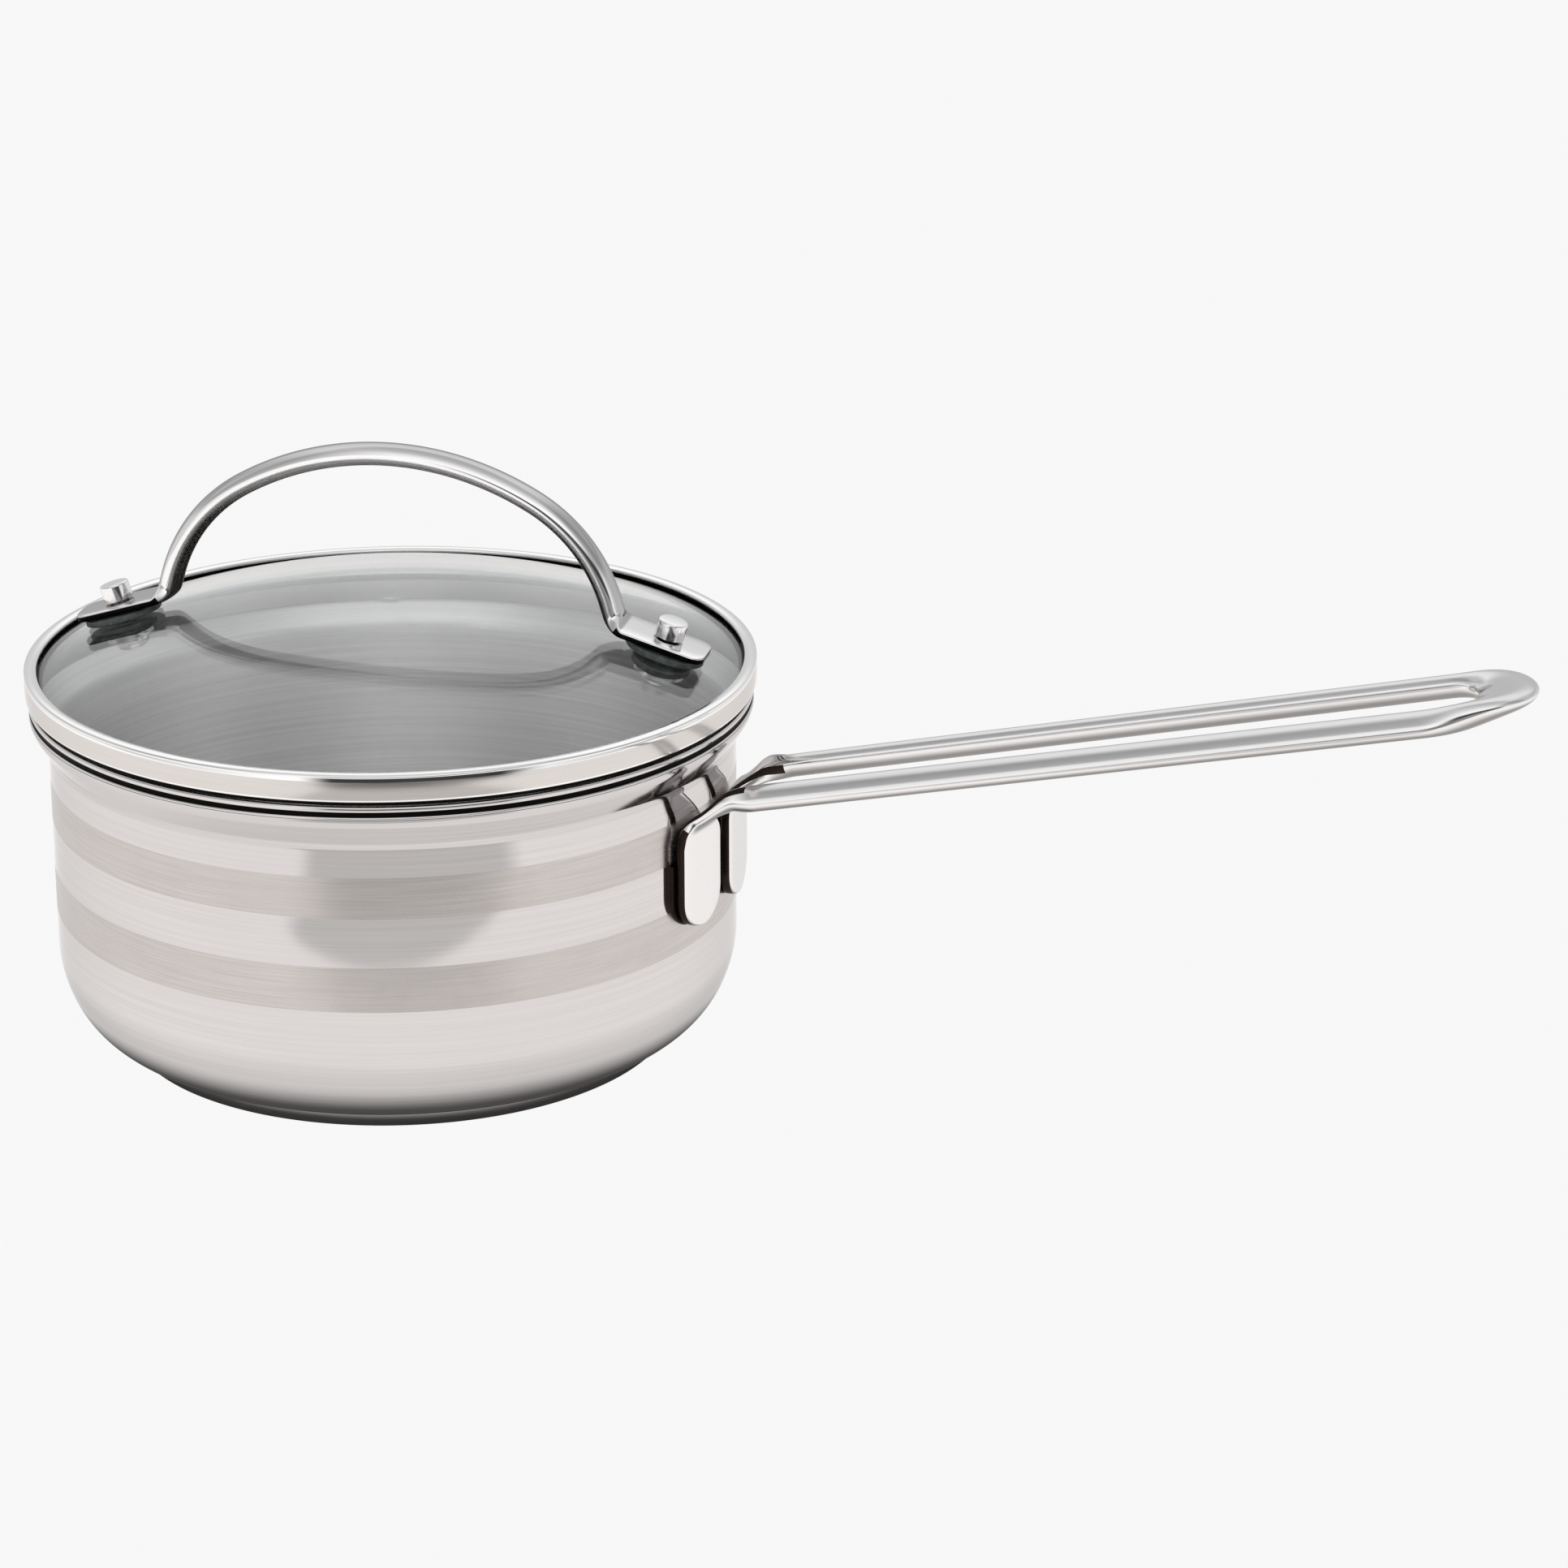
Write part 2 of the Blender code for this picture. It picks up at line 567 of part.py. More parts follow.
def main():
    clear_scene()
    banded = material("pot_steel", (0.74, 0.73, 0.72), 1.0, 0.16)
    polished = material("polished_steel", (0.78, 0.77, 0.76), 1.0, 0.08)
    base_steel = material("base_steel", (0.55, 0.55, 0.55), 1.0, 0.28)
    aluminium = material("core_aluminium", (0.70, 0.71, 0.72), 1.0, 0.45)
    rubber = material("pad_silicone", (0.05, 0.05, 0.055), 0.0, 0.55)
    glass = glass_material()

    make_pot_body(banded)
    make_base(base_steel, aluminium)
    make_long_handle(polished)

    lid = empty_at("lid_axis", (0, 0, 0))
    make_lid_glass(glass, lid)
    make_lid_band(polished, lid)
    make_lid_handle(polished, lid)
    make_fixings(polished, rubber, lid)


main()
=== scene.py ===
"""Looks of the saucepan with a glass lid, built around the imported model.

Every shape repeats the part's own named dimensions with finer steps, and adds
the finish of each surface, a white studio and the camera. Row frame, metres.
"""

from math import atan2, cos, hypot, pi, radians, sin, sqrt, tan

import bmesh
import bpy
from mathutils import Matrix, Vector


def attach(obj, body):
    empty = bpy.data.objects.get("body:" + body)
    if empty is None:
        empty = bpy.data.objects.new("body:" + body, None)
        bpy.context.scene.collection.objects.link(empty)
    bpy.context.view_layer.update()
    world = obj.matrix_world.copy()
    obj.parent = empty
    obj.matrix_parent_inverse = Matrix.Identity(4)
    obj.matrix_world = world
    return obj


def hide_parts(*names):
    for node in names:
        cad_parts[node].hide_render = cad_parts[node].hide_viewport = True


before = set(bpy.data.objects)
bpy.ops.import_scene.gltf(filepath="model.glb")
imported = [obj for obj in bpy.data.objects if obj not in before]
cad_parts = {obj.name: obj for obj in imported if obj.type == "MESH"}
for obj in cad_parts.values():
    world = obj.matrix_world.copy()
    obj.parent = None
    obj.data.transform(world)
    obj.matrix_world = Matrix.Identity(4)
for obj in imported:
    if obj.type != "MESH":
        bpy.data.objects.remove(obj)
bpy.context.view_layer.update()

MM = 0.001
GAP = 0.3 * MM
TURN_SIDES = 256
SMALL_SIDES = 64
BAR_SIDES = 48
SHARP_EDGE = radians(35)
UP = Vector((0.0, 0.0, 1.0))
INNERMOST = 2.0 * MM                # radius of the smallest ring of a turned disc

# Pot body
POT_RADIUS = 80.6 * MM
SHEET = 0.8 * MM
POT_FLOOR = 4.2 * MM
CORNER_WIDTH = 15.5 * MM
CORNER_HEIGHT = 22.0 * MM
FLARE_START = 73.0 * MM
FLARE_BEND = 4.0 * MM
FLARE_ANGLE = radians(33)
COLLAR_RADIUS = 84.8 * MM
COLLAR_TOP = 82.5 * MM
COLLAR_BULGE = 0.16 * MM
CREASE = ((0.42 * MM, 82.7 * MM), (0.5 * MM, 82.95 * MM), (0.5 * MM, 83.4 * MM))
RIM_TOP = 84.9 * MM
BEAD_HALF_HEIGHT = 0.65 * MM
SATIN_BANDS = ((34.7 * MM, 45.4 * MM), (57.0 * MM, 66.8 * MM))

# Base
BASE_RADIUS = 65.1 * MM
TRAY_SHEET = 0.6 * MM
TRAY_EDGE = 1.4 * MM

# Long handle
BAR_WIDTH = 4.8 * MM
BAR_HEIGHT = 6.3 * MM
BAR_LEAN = radians(40)
TAB_WIDTH = 17.0 * MM
TAB_THICKNESS = 3.0 * MM
TAB_BOTTOM = 40.5 * MM
TAB_END_RADIUS = 7.2 * MM
TAB_SPACING = 11.0 * MM
TAB_TAPER = 10.0 * MM
TAB_BEND = 5.0 * MM
STRAIGHT_END = 8.0 * MM
NECK_WIDTH = 9.0 * MM
NECK_RISE = radians(36)
NECK_BEND = 6.0 * MM
ROUNDING = 12.0 * MM
GRIP_RISE = radians(13.7)
GRIP_START = 90.3 * MM
GRIP_START_HEIGHT = 71.5 * MM
GRIP_END = 249.6 * MM
GRIP_SPACING_START = 11.9 * MM
GRIP_SPACING_END = 13.6 * MM
LOOP_REACH = 15.1 * MM
LOOP_WIDTH = 14.0 * MM
LOOP_HEIGHT = 5.0 * MM
GAP_SHADE_MARGIN = 0.45 * MM
SEAM_TO_TAB = 0.02 * MM
SEAM_TO_WALL = 0.03 * MM

# Squareness of a bar's section: 2 is an ellipse, and more is nearer to a rectangle
ROUND = 2.0
NECK_SQUARENESS = 3.2
FLAT_SQUARENESS = 5.0
NECK_FROM = 2.06
TAB_FROM = 4.2
FOOT_FROM = 4.0

# Lid
DOME_RADIUS = 225.0 * MM
GLASS_RADIUS = 84.4 * MM
GLASS_THICKNESS = 3.6 * MM
DOME_CENTRE = -118.33 * MM
BAND_RADIUS = 85.5 * MM
BAND_TOP = 92.75 * MM
LID_MIDDLE = 92.0 * MM
BAND_LIP_RADIUS = 82.6 * MM
SEAT = 85.25 * MM
SKIRT_RADIUS = 83.3 * MM
SKIRT_BOTTOM = 80.5 * MM
BAND_SHEET = 0.6 * MM
BAND_FOOT = 86.15 * MM
BAND_FACE_LOW = 86.85 * MM
BAND_FACE_HIGH = 91.0 * MM
BAND_BULGE = 0.08 * MM
HEM_TOP = 91.75 * MM
HEM_DEPTH = 0.30 * MM
LIP_HALF_HEIGHT = 0.7 * MM
LIP_GROOVE = 0.5 * MM

# Lid handle and its fixings
LID_HANDLE_TURN = radians(8.8)
ARCH_WIDTH = 7.4 * MM
ARCH_THICKNESS = 5.3 * MM
ARCH_TOP = 143.6 * MM
CROWN_RADIUS = 70.25 * MM
CROWN_HALF = radians(30)
SHOULDER_RADIUS = 38.75 * MM
LEG_LEAN = radians(74)
FOOT_BEND = 5.0 * MM
FOOT_WIDTH = 13.5 * MM
FOOT_THICKNESS = 2.0 * MM
FOOT_LENGTH = 9.8 * MM
FOOT_CORNER = 3.2 * MM
SCREW_DISTANCE = 65.5 * MM
SCREW_DIAMETER = 4.0 * MM
GLASS_HOLE = 6.0 * MM
DRILL_LENGTH = 24 * MM
SLEEVE_DIAMETER = 5.4 * MM
PAD_LENGTH = 19.0 * MM
PAD_WIDTH = 15.0 * MM
PAD_THICKNESS = 1.6 * MM
CAP_DIAMETER = 7.0 * MM
CAP_HEIGHT = 4.2 * MM
LOWER_PAD_DIAMETER = 14.0 * MM
LOWER_PAD_THICKNESS = 1.4 * MM
WASHER_DIAMETER = 12.0 * MM
WASHER_THICKNESS = 1.0 * MM
SCREW_HEAD_DIAMETER = 8.0 * MM
SCREW_HEAD_HEIGHT = 2.1 * MM

PAD_TOP = GAP + PAD_THICKNESS
FOOT_BOTTOM = PAD_TOP + GAP
FOOT_TOP = FOOT_BOTTOM + FOOT_THICKNESS
CAP_BOTTOM = FOOT_TOP + GAP
LOWER_PAD_TOP = -GLASS_THICKNESS - GAP
WASHER_TOP = LOWER_PAD_TOP - LOWER_PAD_THICKNESS - GAP
SCREW_HEAD_TOP = WASHER_TOP - WASHER_THICKNESS - GAP
BORE_RADIUS = SCREW_DIAMETER / 2 + GAP

# Camera and studio
CAMERA_TARGET = Vector((0.085755, 0.032918, 0.059479))
CAMERA_AZIMUTH = radians(21)
CAMERA_ELEVATION = radians(19.873)
CAMERA_DISTANCE = 1.17941
CAMERA_LENS = 114.48
CAMERA_SENSOR = 36.0
CAMERA_SHIFT = 0.0011
FRONT = Vector((sin(CAMERA_AZIMUTH), -cos(CAMERA_AZIMUTH), 0.0))
SIDEWAYS = Vector((cos(CAMERA_AZIMUTH), sin(CAMERA_AZIMUTH), 0.0))
PAPER = 0.935                       # radiance of the white surroundings


# ---------------------------------------------------------------- materials

def add(tree, kind, **settings):
    """New node; settings name its properties or, by socket name, its inputs."""
    node = tree.nodes.new(kind)
    for key, value in settings.items():
        if hasattr(node, key):
            setattr(node, key, value)
        else:
            node.inputs[key.replace("_", " ")].default_value = value
    return node


def calc(tree, operation, first, second=0.0, third=None):
    """Math node on sockets or numbers; returns its output socket."""
    node = tree.nodes.new("ShaderNodeMath")
    node.operation = operation
    for index, value in enumerate((first, second, third)):
        if value is None:
            continue
        if isinstance(value, (int, float)):
            node.inputs[index].default_value = value
        else:
            tree.links.new(value, node.inputs[index])
    return node.outputs[0]


def ramp(tree, value, low, high, start=0.0, end=1.0):
    """Smooth map of a socket from low..high to start..end."""
    node = tree.nodes.new("ShaderNodeMapRange")
    node.interpolation_type = "SMOOTHSTEP"
    tree.links.new(value, node.inputs["Value"])
    node.inputs["From Min"].default_value = low
    node.inputs["From Max"].default_value = high
    node.inputs["To Min"].default_value = start
    node.inputs["To Max"].default_value = end
    return node.outputs["Result"]


def mix_colour(tree, amount, first, second):
    """Colour between two colours or sockets."""
    node = tree.nodes.new("ShaderNodeMix")
    node.data_type = "RGBA"
    tree.links.new(amount, node.inputs["Factor"])
    for name, value in (("A", first), ("B", second)):
        socket = [one for one in node.inputs if one.name == name and one.type == "RGBA"][0]
        if isinstance(value, tuple):
            socket.default_value = (*value, 1.0)
        else:
            tree.links.new(value, socket)
    return [one for one in node.outputs if one.type == "RGBA"][0]


def position(tree):
    return tree.nodes.new("ShaderNodeTexCoord").outputs["Object"]


def grain_vector(tree, kind, fine, coarse):
    """Texture coordinates stretched along the direction of the polishing marks.

    Kind "turned" runs round the Z axis, "x" along X, "arch" along the lid handle.
    """
    split = tree.nodes.new("ShaderNodeSeparateXYZ")
    tree.links.new(position(tree), split.inputs[0])
    x, y, z = split.outputs
    join = tree.nodes.new("ShaderNodeCombineXYZ")
    if kind == "turned":
        squares = calc(tree, "ADD", calc(tree, "MULTIPLY", x, x), calc(tree, "MULTIPLY", y, y))
        parts = (calc(tree, "MULTIPLY_ADD", calc(tree, "SQRT", squares), fine,
                      calc(tree, "MULTIPLY", x, coarse)),
                 calc(tree, "MULTIPLY", y, coarse),
                 calc(tree, "MULTIPLY", z, fine))
    else:
        parts = (calc(tree, "MULTIPLY", x, coarse),
                 calc(tree, "MULTIPLY", y, fine),
                 calc(tree, "MULTIPLY", z, fine if kind == "x" else coarse))
    for index, part in enumerate(parts):
        tree.links.new(part, join.inputs[index])
    return join.outputs[0]


def dot(tree, vector, fixed):
    """Dot product of a vector socket and a fixed vector."""
    node = add(tree, "ShaderNodeVectorMath", operation="DOT_PRODUCT")
    tree.links.new(vector, node.inputs[0])
    node.inputs[1].default_value = fixed
    return node.outputs["Value"]


def facing(tree):
    return tree.nodes.new("ShaderNodeNewGeometry").outputs["Normal"]


def noise(tree, vector, scale, detail, roughness=0.5):
    node = tree.nodes.new("ShaderNodeTexNoise")
    tree.links.new(vector, node.inputs["Vector"])
    node.inputs["Scale"].default_value = scale
    node.inputs["Detail"].default_value = detail
    node.inputs["Roughness"].default_value = roughness
    return node.outputs["Fac"]


def principled(name):
    """New material, its node tree and its shader."""
    made = bpy.data.materials.new(name)
    made.use_nodes = True
    return made, made.node_tree, made.node_tree.nodes["Principled BSDF"]


def steel(name, colour, roughness, streaks, grain="turned", fine=2600.0, coarse=40.0,
          tone=0.05, depth=0.004, ripple=0.02, edge=(0.8, 0.8, 0.8), anisotropy=0.0,
          shade=None):
    """Steel with polishing marks, faint ripples and wipe marks.

    Streaks is how much the marks change the roughness, and tone how much the
    colour. Depth and ripple are the heights of the marks and ripples in
    millimetres, and shade is a function that paints shade into the finished colour.
    """
    made, tree, shader = principled(name)
    shader.inputs["Metallic"].default_value = 1.0
    shader.inputs["Specular Tint"].default_value = (*edge, 1.0)
    shader.inputs["Anisotropic"].default_value = anisotropy
    shader.inputs["Anisotropic Rotation"].default_value = 0.25

    marks = noise(tree, grain_vector(tree, grain, fine, coarse), 1.0, 3.0, 0.6)
    broad = noise(tree, position(tree), 22.0, 2.0)
    wiped = noise(tree, position(tree), 130.0, 3.0, 0.6)

    darker = tuple(channel * (1.0 - 2.0 * tone) for channel in colour)
    lighter = tuple(min(channel * (1.0 + tone), 1.0) for channel in colour)
    tinted = mix_colour(tree, ramp(tree, marks, 0.25, 0.75), darker, lighter)
    toned = mix_colour(tree, ramp(tree, broad, 0.3, 0.7, 0.0, 0.35), tinted, darker)
    if shade is not None:
        toned = shade(tree, toned)
    tree.links.new(toned, shader.inputs["Base Color"])

    marked = calc(tree, "MULTIPLY_ADD", marks, streaks, roughness - streaks / 2)
    worn = calc(tree, "MULTIPLY_ADD", ramp(tree, wiped, 0.45, 0.75), streaks * 0.6, marked)
    tree.links.new(worn, shader.inputs["Roughness"])

    cut = add(tree, "ShaderNodeBump", Strength=1.0, Distance=depth * MM)
    tree.links.new(marks, cut.inputs["Height"])
    wave = add(tree, "ShaderNodeBump", Strength=1.0, Distance=ripple * MM)
    tree.links.new(broad, wave.inputs["Height"])
    tree.links.new(cut.outputs[0], wave.inputs["Normal"])
    tree.links.new(wave.outputs[0], shader.inputs["Normal"])
    if anisotropy:
        tangent = tree.nodes.new("ShaderNodeTangent")
        tangent.direction_type = "RADIAL"
        tangent.axis = "Z"
        tree.links.new(tangent.outputs[0], shader.inputs["Tangent"])
    return made


def painted_underside_shade(darkest_shade, top):
    """Painted shade for bars: darker where they face the ground, a little darker on top."""
    def shade(tree, colour):
        upward = dot(tree, facing(tree), UP)
        lower = mix_colour(tree, ramp(tree, upward, -0.12, -0.62), colour, darkest_shade)
        return mix_colour(tree, ramp(tree, upward, 0.70, 0.93), lower, top)
    return shade


def painted_lid_shade(darkest_shade, crown, outer):
    """Painted shade for the lid handle: darker where it faces the lid, a little darker outside."""
    def shade(tree, colour):
        away = add(tree, "ShaderNodeVectorMath", operation="SUBTRACT")
        away.inputs[0].default_value = (0.0, 0.0, LID_MIDDLE)
        tree.links.new(position(tree), away.inputs[1])
        unit = add(tree, "ShaderNodeVectorMath", operation="NORMALIZE")
        tree.links.new(away.outputs[0], unit.inputs[0])
        towards = add(tree, "ShaderNodeVectorMath", operation="DOT_PRODUCT")
        tree.links.new(unit.outputs[0], towards.inputs[0])
        tree.links.new(facing(tree), towards.inputs[1])
        share = towards.outputs["Value"]
        height = dot(tree, position(tree), UP)
        inner = mix_colour(tree, ramp(tree, height, 122.0 * MM, 138.0 * MM), darkest_shade, crown)
        lower = mix_colour(tree, ramp(tree, share, 0.15, 0.62), colour, inner)
        return mix_colour(tree, ramp(tree, share, -0.62, -0.97), lower, outer)
    return shade


def lid_glass_material():
    """Clear glass, faintly smeared, with a cool tint in its thickness."""
    made, tree, shader = principled("clear_glass")
    shader.inputs["Transmission Weight"].default_value = 1.0
    shader.inputs["IOR"].default_value = 1.5
    smears = noise(tree, position(tree), 60.0, 4.0, 0.6)
    tinted = mix_colour(tree, ramp(tree, smears, 0.3, 0.8), (0.985, 0.988, 0.985),
                        (0.965, 0.97, 0.967))
    tree.links.new(tinted, shader.inputs["Base Color"])
    shader.inputs["Roughness"].default_value = 0.0
    inside = tree.nodes.new("ShaderNodeVolumeAbsorption")
    inside.inputs["Color"].default_value = (0.70, 0.78, 0.76, 1.0)
    inside.inputs["Density"].default_value = 6.0
    output = tree.nodes["Material Output"]
    tree.links.new(inside.outputs[0], output.inputs["Volume"])
    return made


def silicone(name, colour):
    """Matt rubber with dust and fine pores."""
    made, tree, shader = principled(name)
    dust = noise(tree, position(tree), 420.0, 4.0, 0.65)
    lighter = tuple(channel * 2.2 + 0.01 for channel in colour)
    tree.links.new(mix_colour(tree, ramp(tree, dust, 0.35, 0.8), colour, lighter),
                   shader.inputs["Base Color"])
    tree.links.new(ramp(tree, dust, 0.2, 0.8, 0.42, 0.62), shader.inputs["Roughness"])
    pores = add(tree, "ShaderNodeBump", Strength=0.6, Distance=0.03 * MM)
    tree.links.new(noise(tree, position(tree), 2600.0, 2.0), pores.inputs["Height"])
    tree.links.new(pores.outputs[0], shader.inputs["Normal"])
    return made


# ---------------------------------------------------------------- mesh tools

def make_piece(name, sheet, finishes, body, replaced):
    """Object from a finished bmesh, riding on a body in place of CAD nodes."""
    bmesh.ops.recalc_face_normals(sheet, faces=sheet.faces)
    mesh = bpy.data.meshes.new(name)
    sheet.to_mesh(mesh)
    sheet.free()
    for finish in finishes:
        mesh.materials.append(finish)
    mesh.shade_smooth()
    mesh.set_sharp_from_angle(angle=SHARP_EDGE)
    piece = bpy.data.objects.new(name, mesh)
    bpy.context.scene.collection.objects.link(piece)
    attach(piece, body)
    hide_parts(*replaced)
    return piece


def loft(loops, finish_of=None, closed_ring=False):
    """bmesh skin over loops of equally many points; the ends are capped or joined."""
    sheet = bmesh.new()
    rows = [[sheet.verts.new(point) for point in loop] for loop in loops]
    pairs = list(zip(rows, rows[1:]))
    if closed_ring:
        pairs.append((rows[-1], rows[0]))
    else:
        first = sheet.faces.new(rows[0])
        last = sheet.faces.new(rows[-1])
        if finish_of:
            first.material_index = finish_of(0)
            last.material_index = finish_of(len(pairs) - 1)
    for number, (low, high) in enumerate(pairs):
        for index in range(len(low)):
            after = (index + 1) % len(low)
            face = sheet.faces.new((low[index], low[after], high[after], high[index]))
            face.material_index = finish_of(number) if finish_of else 0
    return sheet


def circle(radius, height, sides):
    turns = [2 * pi * index / sides for index in range(sides)]
    return [Vector((radius * cos(turn), radius * sin(turn), height)) for turn in turns]


def turned(runs, sides, closed_ring=False):
    """Solid of revolution from runs of (finish index, points); runs share end points."""
    points, finishes = [], []
    for finish, run in runs:
        for point in run:
            if points and hypot(point[0] - points[-1][0], point[1] - points[-1][1]) < 1e-7:
                continue
            if points:
                finishes.append(finish)
            points.append(point)
    finishes.append(finishes[-1])
    loops = [circle(radius, height, sides) for radius, height in points]
    return loft(loops, lambda number: finishes[number], closed_ring)


def oval(centre, half_width, half_height, start, end, steps):
    """Points on an ellipse between two angles, both included."""
    angles = [start + (end - start) * step / steps for step in range(steps + 1)]
    return [(centre[0] + half_width * cos(a), centre[1] + half_height * sin(a)) for a in angles]


def arc(centre, radius, start, end, steps):
    return oval(centre, radius, radius, start, end, steps)


def bowed(radius, low, high, bulge, steps):
    """Nearly upright wall that reaches its radius half way up."""
    return [(radius - bulge * (2 * step / steps - 1) ** 2, low + (high - low) * step / steps)
            for step in range(steps + 1)]


def along(start, end, steps):
    """Points on a straight line, both ends included."""
    return [(start[0] + (end[0] - start[0]) * step / steps,
             start[1] + (end[1] - start[1]) * step / steps) for step in range(steps + 1)]


def blend(start, end, amount):
    """Smooth change from start to end as the amount goes from nought to one."""
    share = min(max(amount, 0.0), 1.0)
    return start + (end - start) * share * share * (3 - 2 * share)


# ---------------------------------------------------------------- the pot

def pot_corner(inset, steps):
    """Round bottom corner, a sheet's thickness further in for the inside."""
    centre = (POT_RADIUS - CORNER_WIDTH, POT_FLOOR + CORNER_HEIGHT)
    return oval(centre, CORNER_WIDTH - inset, CORNER_HEIGHT - inset, -pi / 2, 0, steps)


def pot_flare(inset, steps):
    """The wall's two bends, out to the collar."""
    lower = (POT_RADIUS + FLARE_BEND, FLARE_START)
    across = COLLAR_RADIUS - POT_RADIUS - 2 * FLARE_BEND * (1 - cos(FLARE_ANGLE))
    rise = 2 * FLARE_BEND * sin(FLARE_ANGLE) + across / tan(FLARE_ANGLE)
    upper = (COLLAR_RADIUS - FLARE_BEND, FLARE_START + rise)
    return (arc(lower, FLARE_BEND + inset, pi, pi - FLARE_ANGLE, steps)
            + arc(upper, FLARE_BEND - inset, -FLARE_ANGLE, 0, steps))


def make_pot(finishes):
    """The shell: polished wall with two satin bands, rolled rim, brushed inside."""
    mirror, satin, brushed, black, fold_shade = range(5)
    corner = pot_corner(0.0, 40)
    flare = pot_flare(0.0, 12)
    (low_start, low_end), (high_start, high_end) = SATIN_BANDS
    wall = POT_RADIUS
    collar = bowed(COLLAR_RADIUS, flare[-1][1], COLLAR_TOP, COLLAR_BULGE, 12)
    bead_centre = (COLLAR_RADIUS - SHEET / 2, RIM_TOP - BEAD_HALF_HEIGHT)
    bead = oval(bead_centre, SHEET / 2, BEAD_HALF_HEIGHT, radians(-65), pi, 22)
    crease = [(COLLAR_RADIUS - depth, height) for depth, height in CREASE]
    inner_flare = pot_flare(SHEET, 12)[::-1]
    inner_corner = pot_corner(SHEET, 40)[::-1]
    runs = [
        (mirror, along((INNERMOST, POT_FLOOR), corner[0], 8)),
        (mirror, corner),
        (mirror, along(corner[-1], (wall, low_start), 4)),
        (satin, along((wall, low_start), (wall, low_end), 4)),
        (mirror, along((wall, low_end), (wall, high_start), 4)),
        (satin, along((wall, high_start), (wall, high_end), 4)),
        (mirror, [(wall, high_end), flare[0]]),
        # Painted shade: the flare takes a darker copy of the wall's steel.
        (fold_shade, flare),
        (mirror, collar),
        # Painted shade: the crease under the bead is near-black steel.
        (black, [collar[-1]] + crease + [bead[0]]),
        (mirror, bead),
        (brushed, [bead[-1]] + inner_flare + inner_corner),
        (brushed, along(inner_corner[-1], (INNERMOST, POT_FLOOR + SHEET), 24)),
    ]
    make_piece("saucepan_shell", turned(runs, TURN_SIDES), finishes, "pot",
               ["pot_body"])


def make_base(finishes):
    """The tray round the base disc, its underside turned with fine rings."""
    edge, bottom, bright = range(3)
    top = POT_FLOOR - GAP
    corner = (BASE_RADIUS - TRAY_EDGE, TRAY_EDGE)
    lip_start = (BASE_RADIUS, top - 0.35 * MM)
    inner_corner = arc(corner, TRAY_EDGE - TRAY_SHEET, 0, -pi / 2, 8)
    runs = [
        (bottom, along((INNERMOST, 0.0), (BASE_RADIUS - TRAY_EDGE, 0.0), 24)),
        # Painted shade: the tray's edge takes darkened steel at the foot of the pot.
        (edge, arc(corner, TRAY_EDGE, -pi / 2, 0, 10)),
        (edge, [(BASE_RADIUS, TRAY_EDGE), lip_start]),
        (bright, [lip_start, (BASE_RADIUS - 0.1 * MM, top - 0.1 * MM),
                  (BASE_RADIUS - 0.3 * MM, top), (BASE_RADIUS - TRAY_SHEET, top)]),
        (edge, inner_corner),
        (bottom, [inner_corner[-1], (INNERMOST, TRAY_SHEET)]),
    ]
    make_piece("base_dish", turned(runs, TURN_SIDES), finishes, "pot",
               ["base_tray"])


# ---------------------------------------------------------------- bent bars

def section(centre, width_axis, normal, width, thickness, squareness):
    """Outline of a bar across its length, from an ellipse to nearly a rectangle."""
    loop = []
    for index in range(BAR_SIDES):
        turn = 2 * pi * (index + 0.5) / BAR_SIDES
        side = abs(cos(turn)) ** (2 / squareness) * (1 if cos(turn) > 0 else -1)
        rise = abs(sin(turn)) ** (2 / squareness) * (1 if sin(turn) > 0 else -1)
        loop.append(centre + width_axis * (side * width / 2) + normal * (rise * thickness / 2))
    return loop


def rounded_end_width(distance, width, end_radius):
    """Width of a flat bar at a distance from its rounded end."""
    if distance >= end_radius:
        return width
    inset = end_radius - sqrt(max(end_radius ** 2 - (end_radius - distance) ** 2, 0.0))
    return width - 2 * inset


def bend_points(corner, incoming, outgoing, radius, steps):
    """Arc that rounds the corner between two directions."""
    half = abs(incoming - outgoing) / 2
    reach = radius * tan(half)
    turn_side = -1 if outgoing < incoming else 1
    start = (corner[0] - reach * cos(incoming), corner[1] - reach * sin(incoming))
    centre = (start[0] - turn_side * radius * sin(incoming),
              start[1] + turn_side * radius * cos(incoming))
    first = incoming - turn_side * pi / 2
    last = outgoing - turn_side * pi / 2
    return arc(centre, radius, first, last, steps)


def slope_at(line, index):
    before = line[max(index - 1, 0)]
    after = line[min(index + 1, len(line) - 1)]
    return atan2(after[1] - before[1], after[0] - before[0])


def sweep(stations):
    """Outlines of a bar at stations of (point, normal, width, thickness, squareness)."""
    loops = []
    for index, (point, normal, width, thickness, squareness) in enumerate(stations):
        before = stations[max(index - 1, 0)][0]
        after = stations[min(index + 1, len(stations) - 1)][0]
        direction = (after - before).normalized()
        width_axis = direction.cross(normal).normalized()
        across = width_axis.cross(direction).normalized()
        loops.append(section(point, width_axis, across, width, thickness, squareness))
    return loops


def second_finish(piece, stations, chosen):
    """Gives a bar's second finish to the faces chosen by squareness and turn."""
    faces = piece.data.polygons
    for number, station in enumerate(stations[:-1]):
        for index in range(BAR_SIDES):
            if chosen(station[4], 2 * pi * (index + 1) / BAR_SIDES):
                faces[2 + number * BAR_SIDES + index].material_index = 1


# Steps along a rounded end, closer together towards its tip
END_SHARES = [1 - cos(pi / 2 * step / 14) for step in range(15)]


def leaned(upward, inward, lean):
    """Thickness direction of a bar that leans inwards at the top."""
    return upward * cos(lean) + inward * sin(lean)


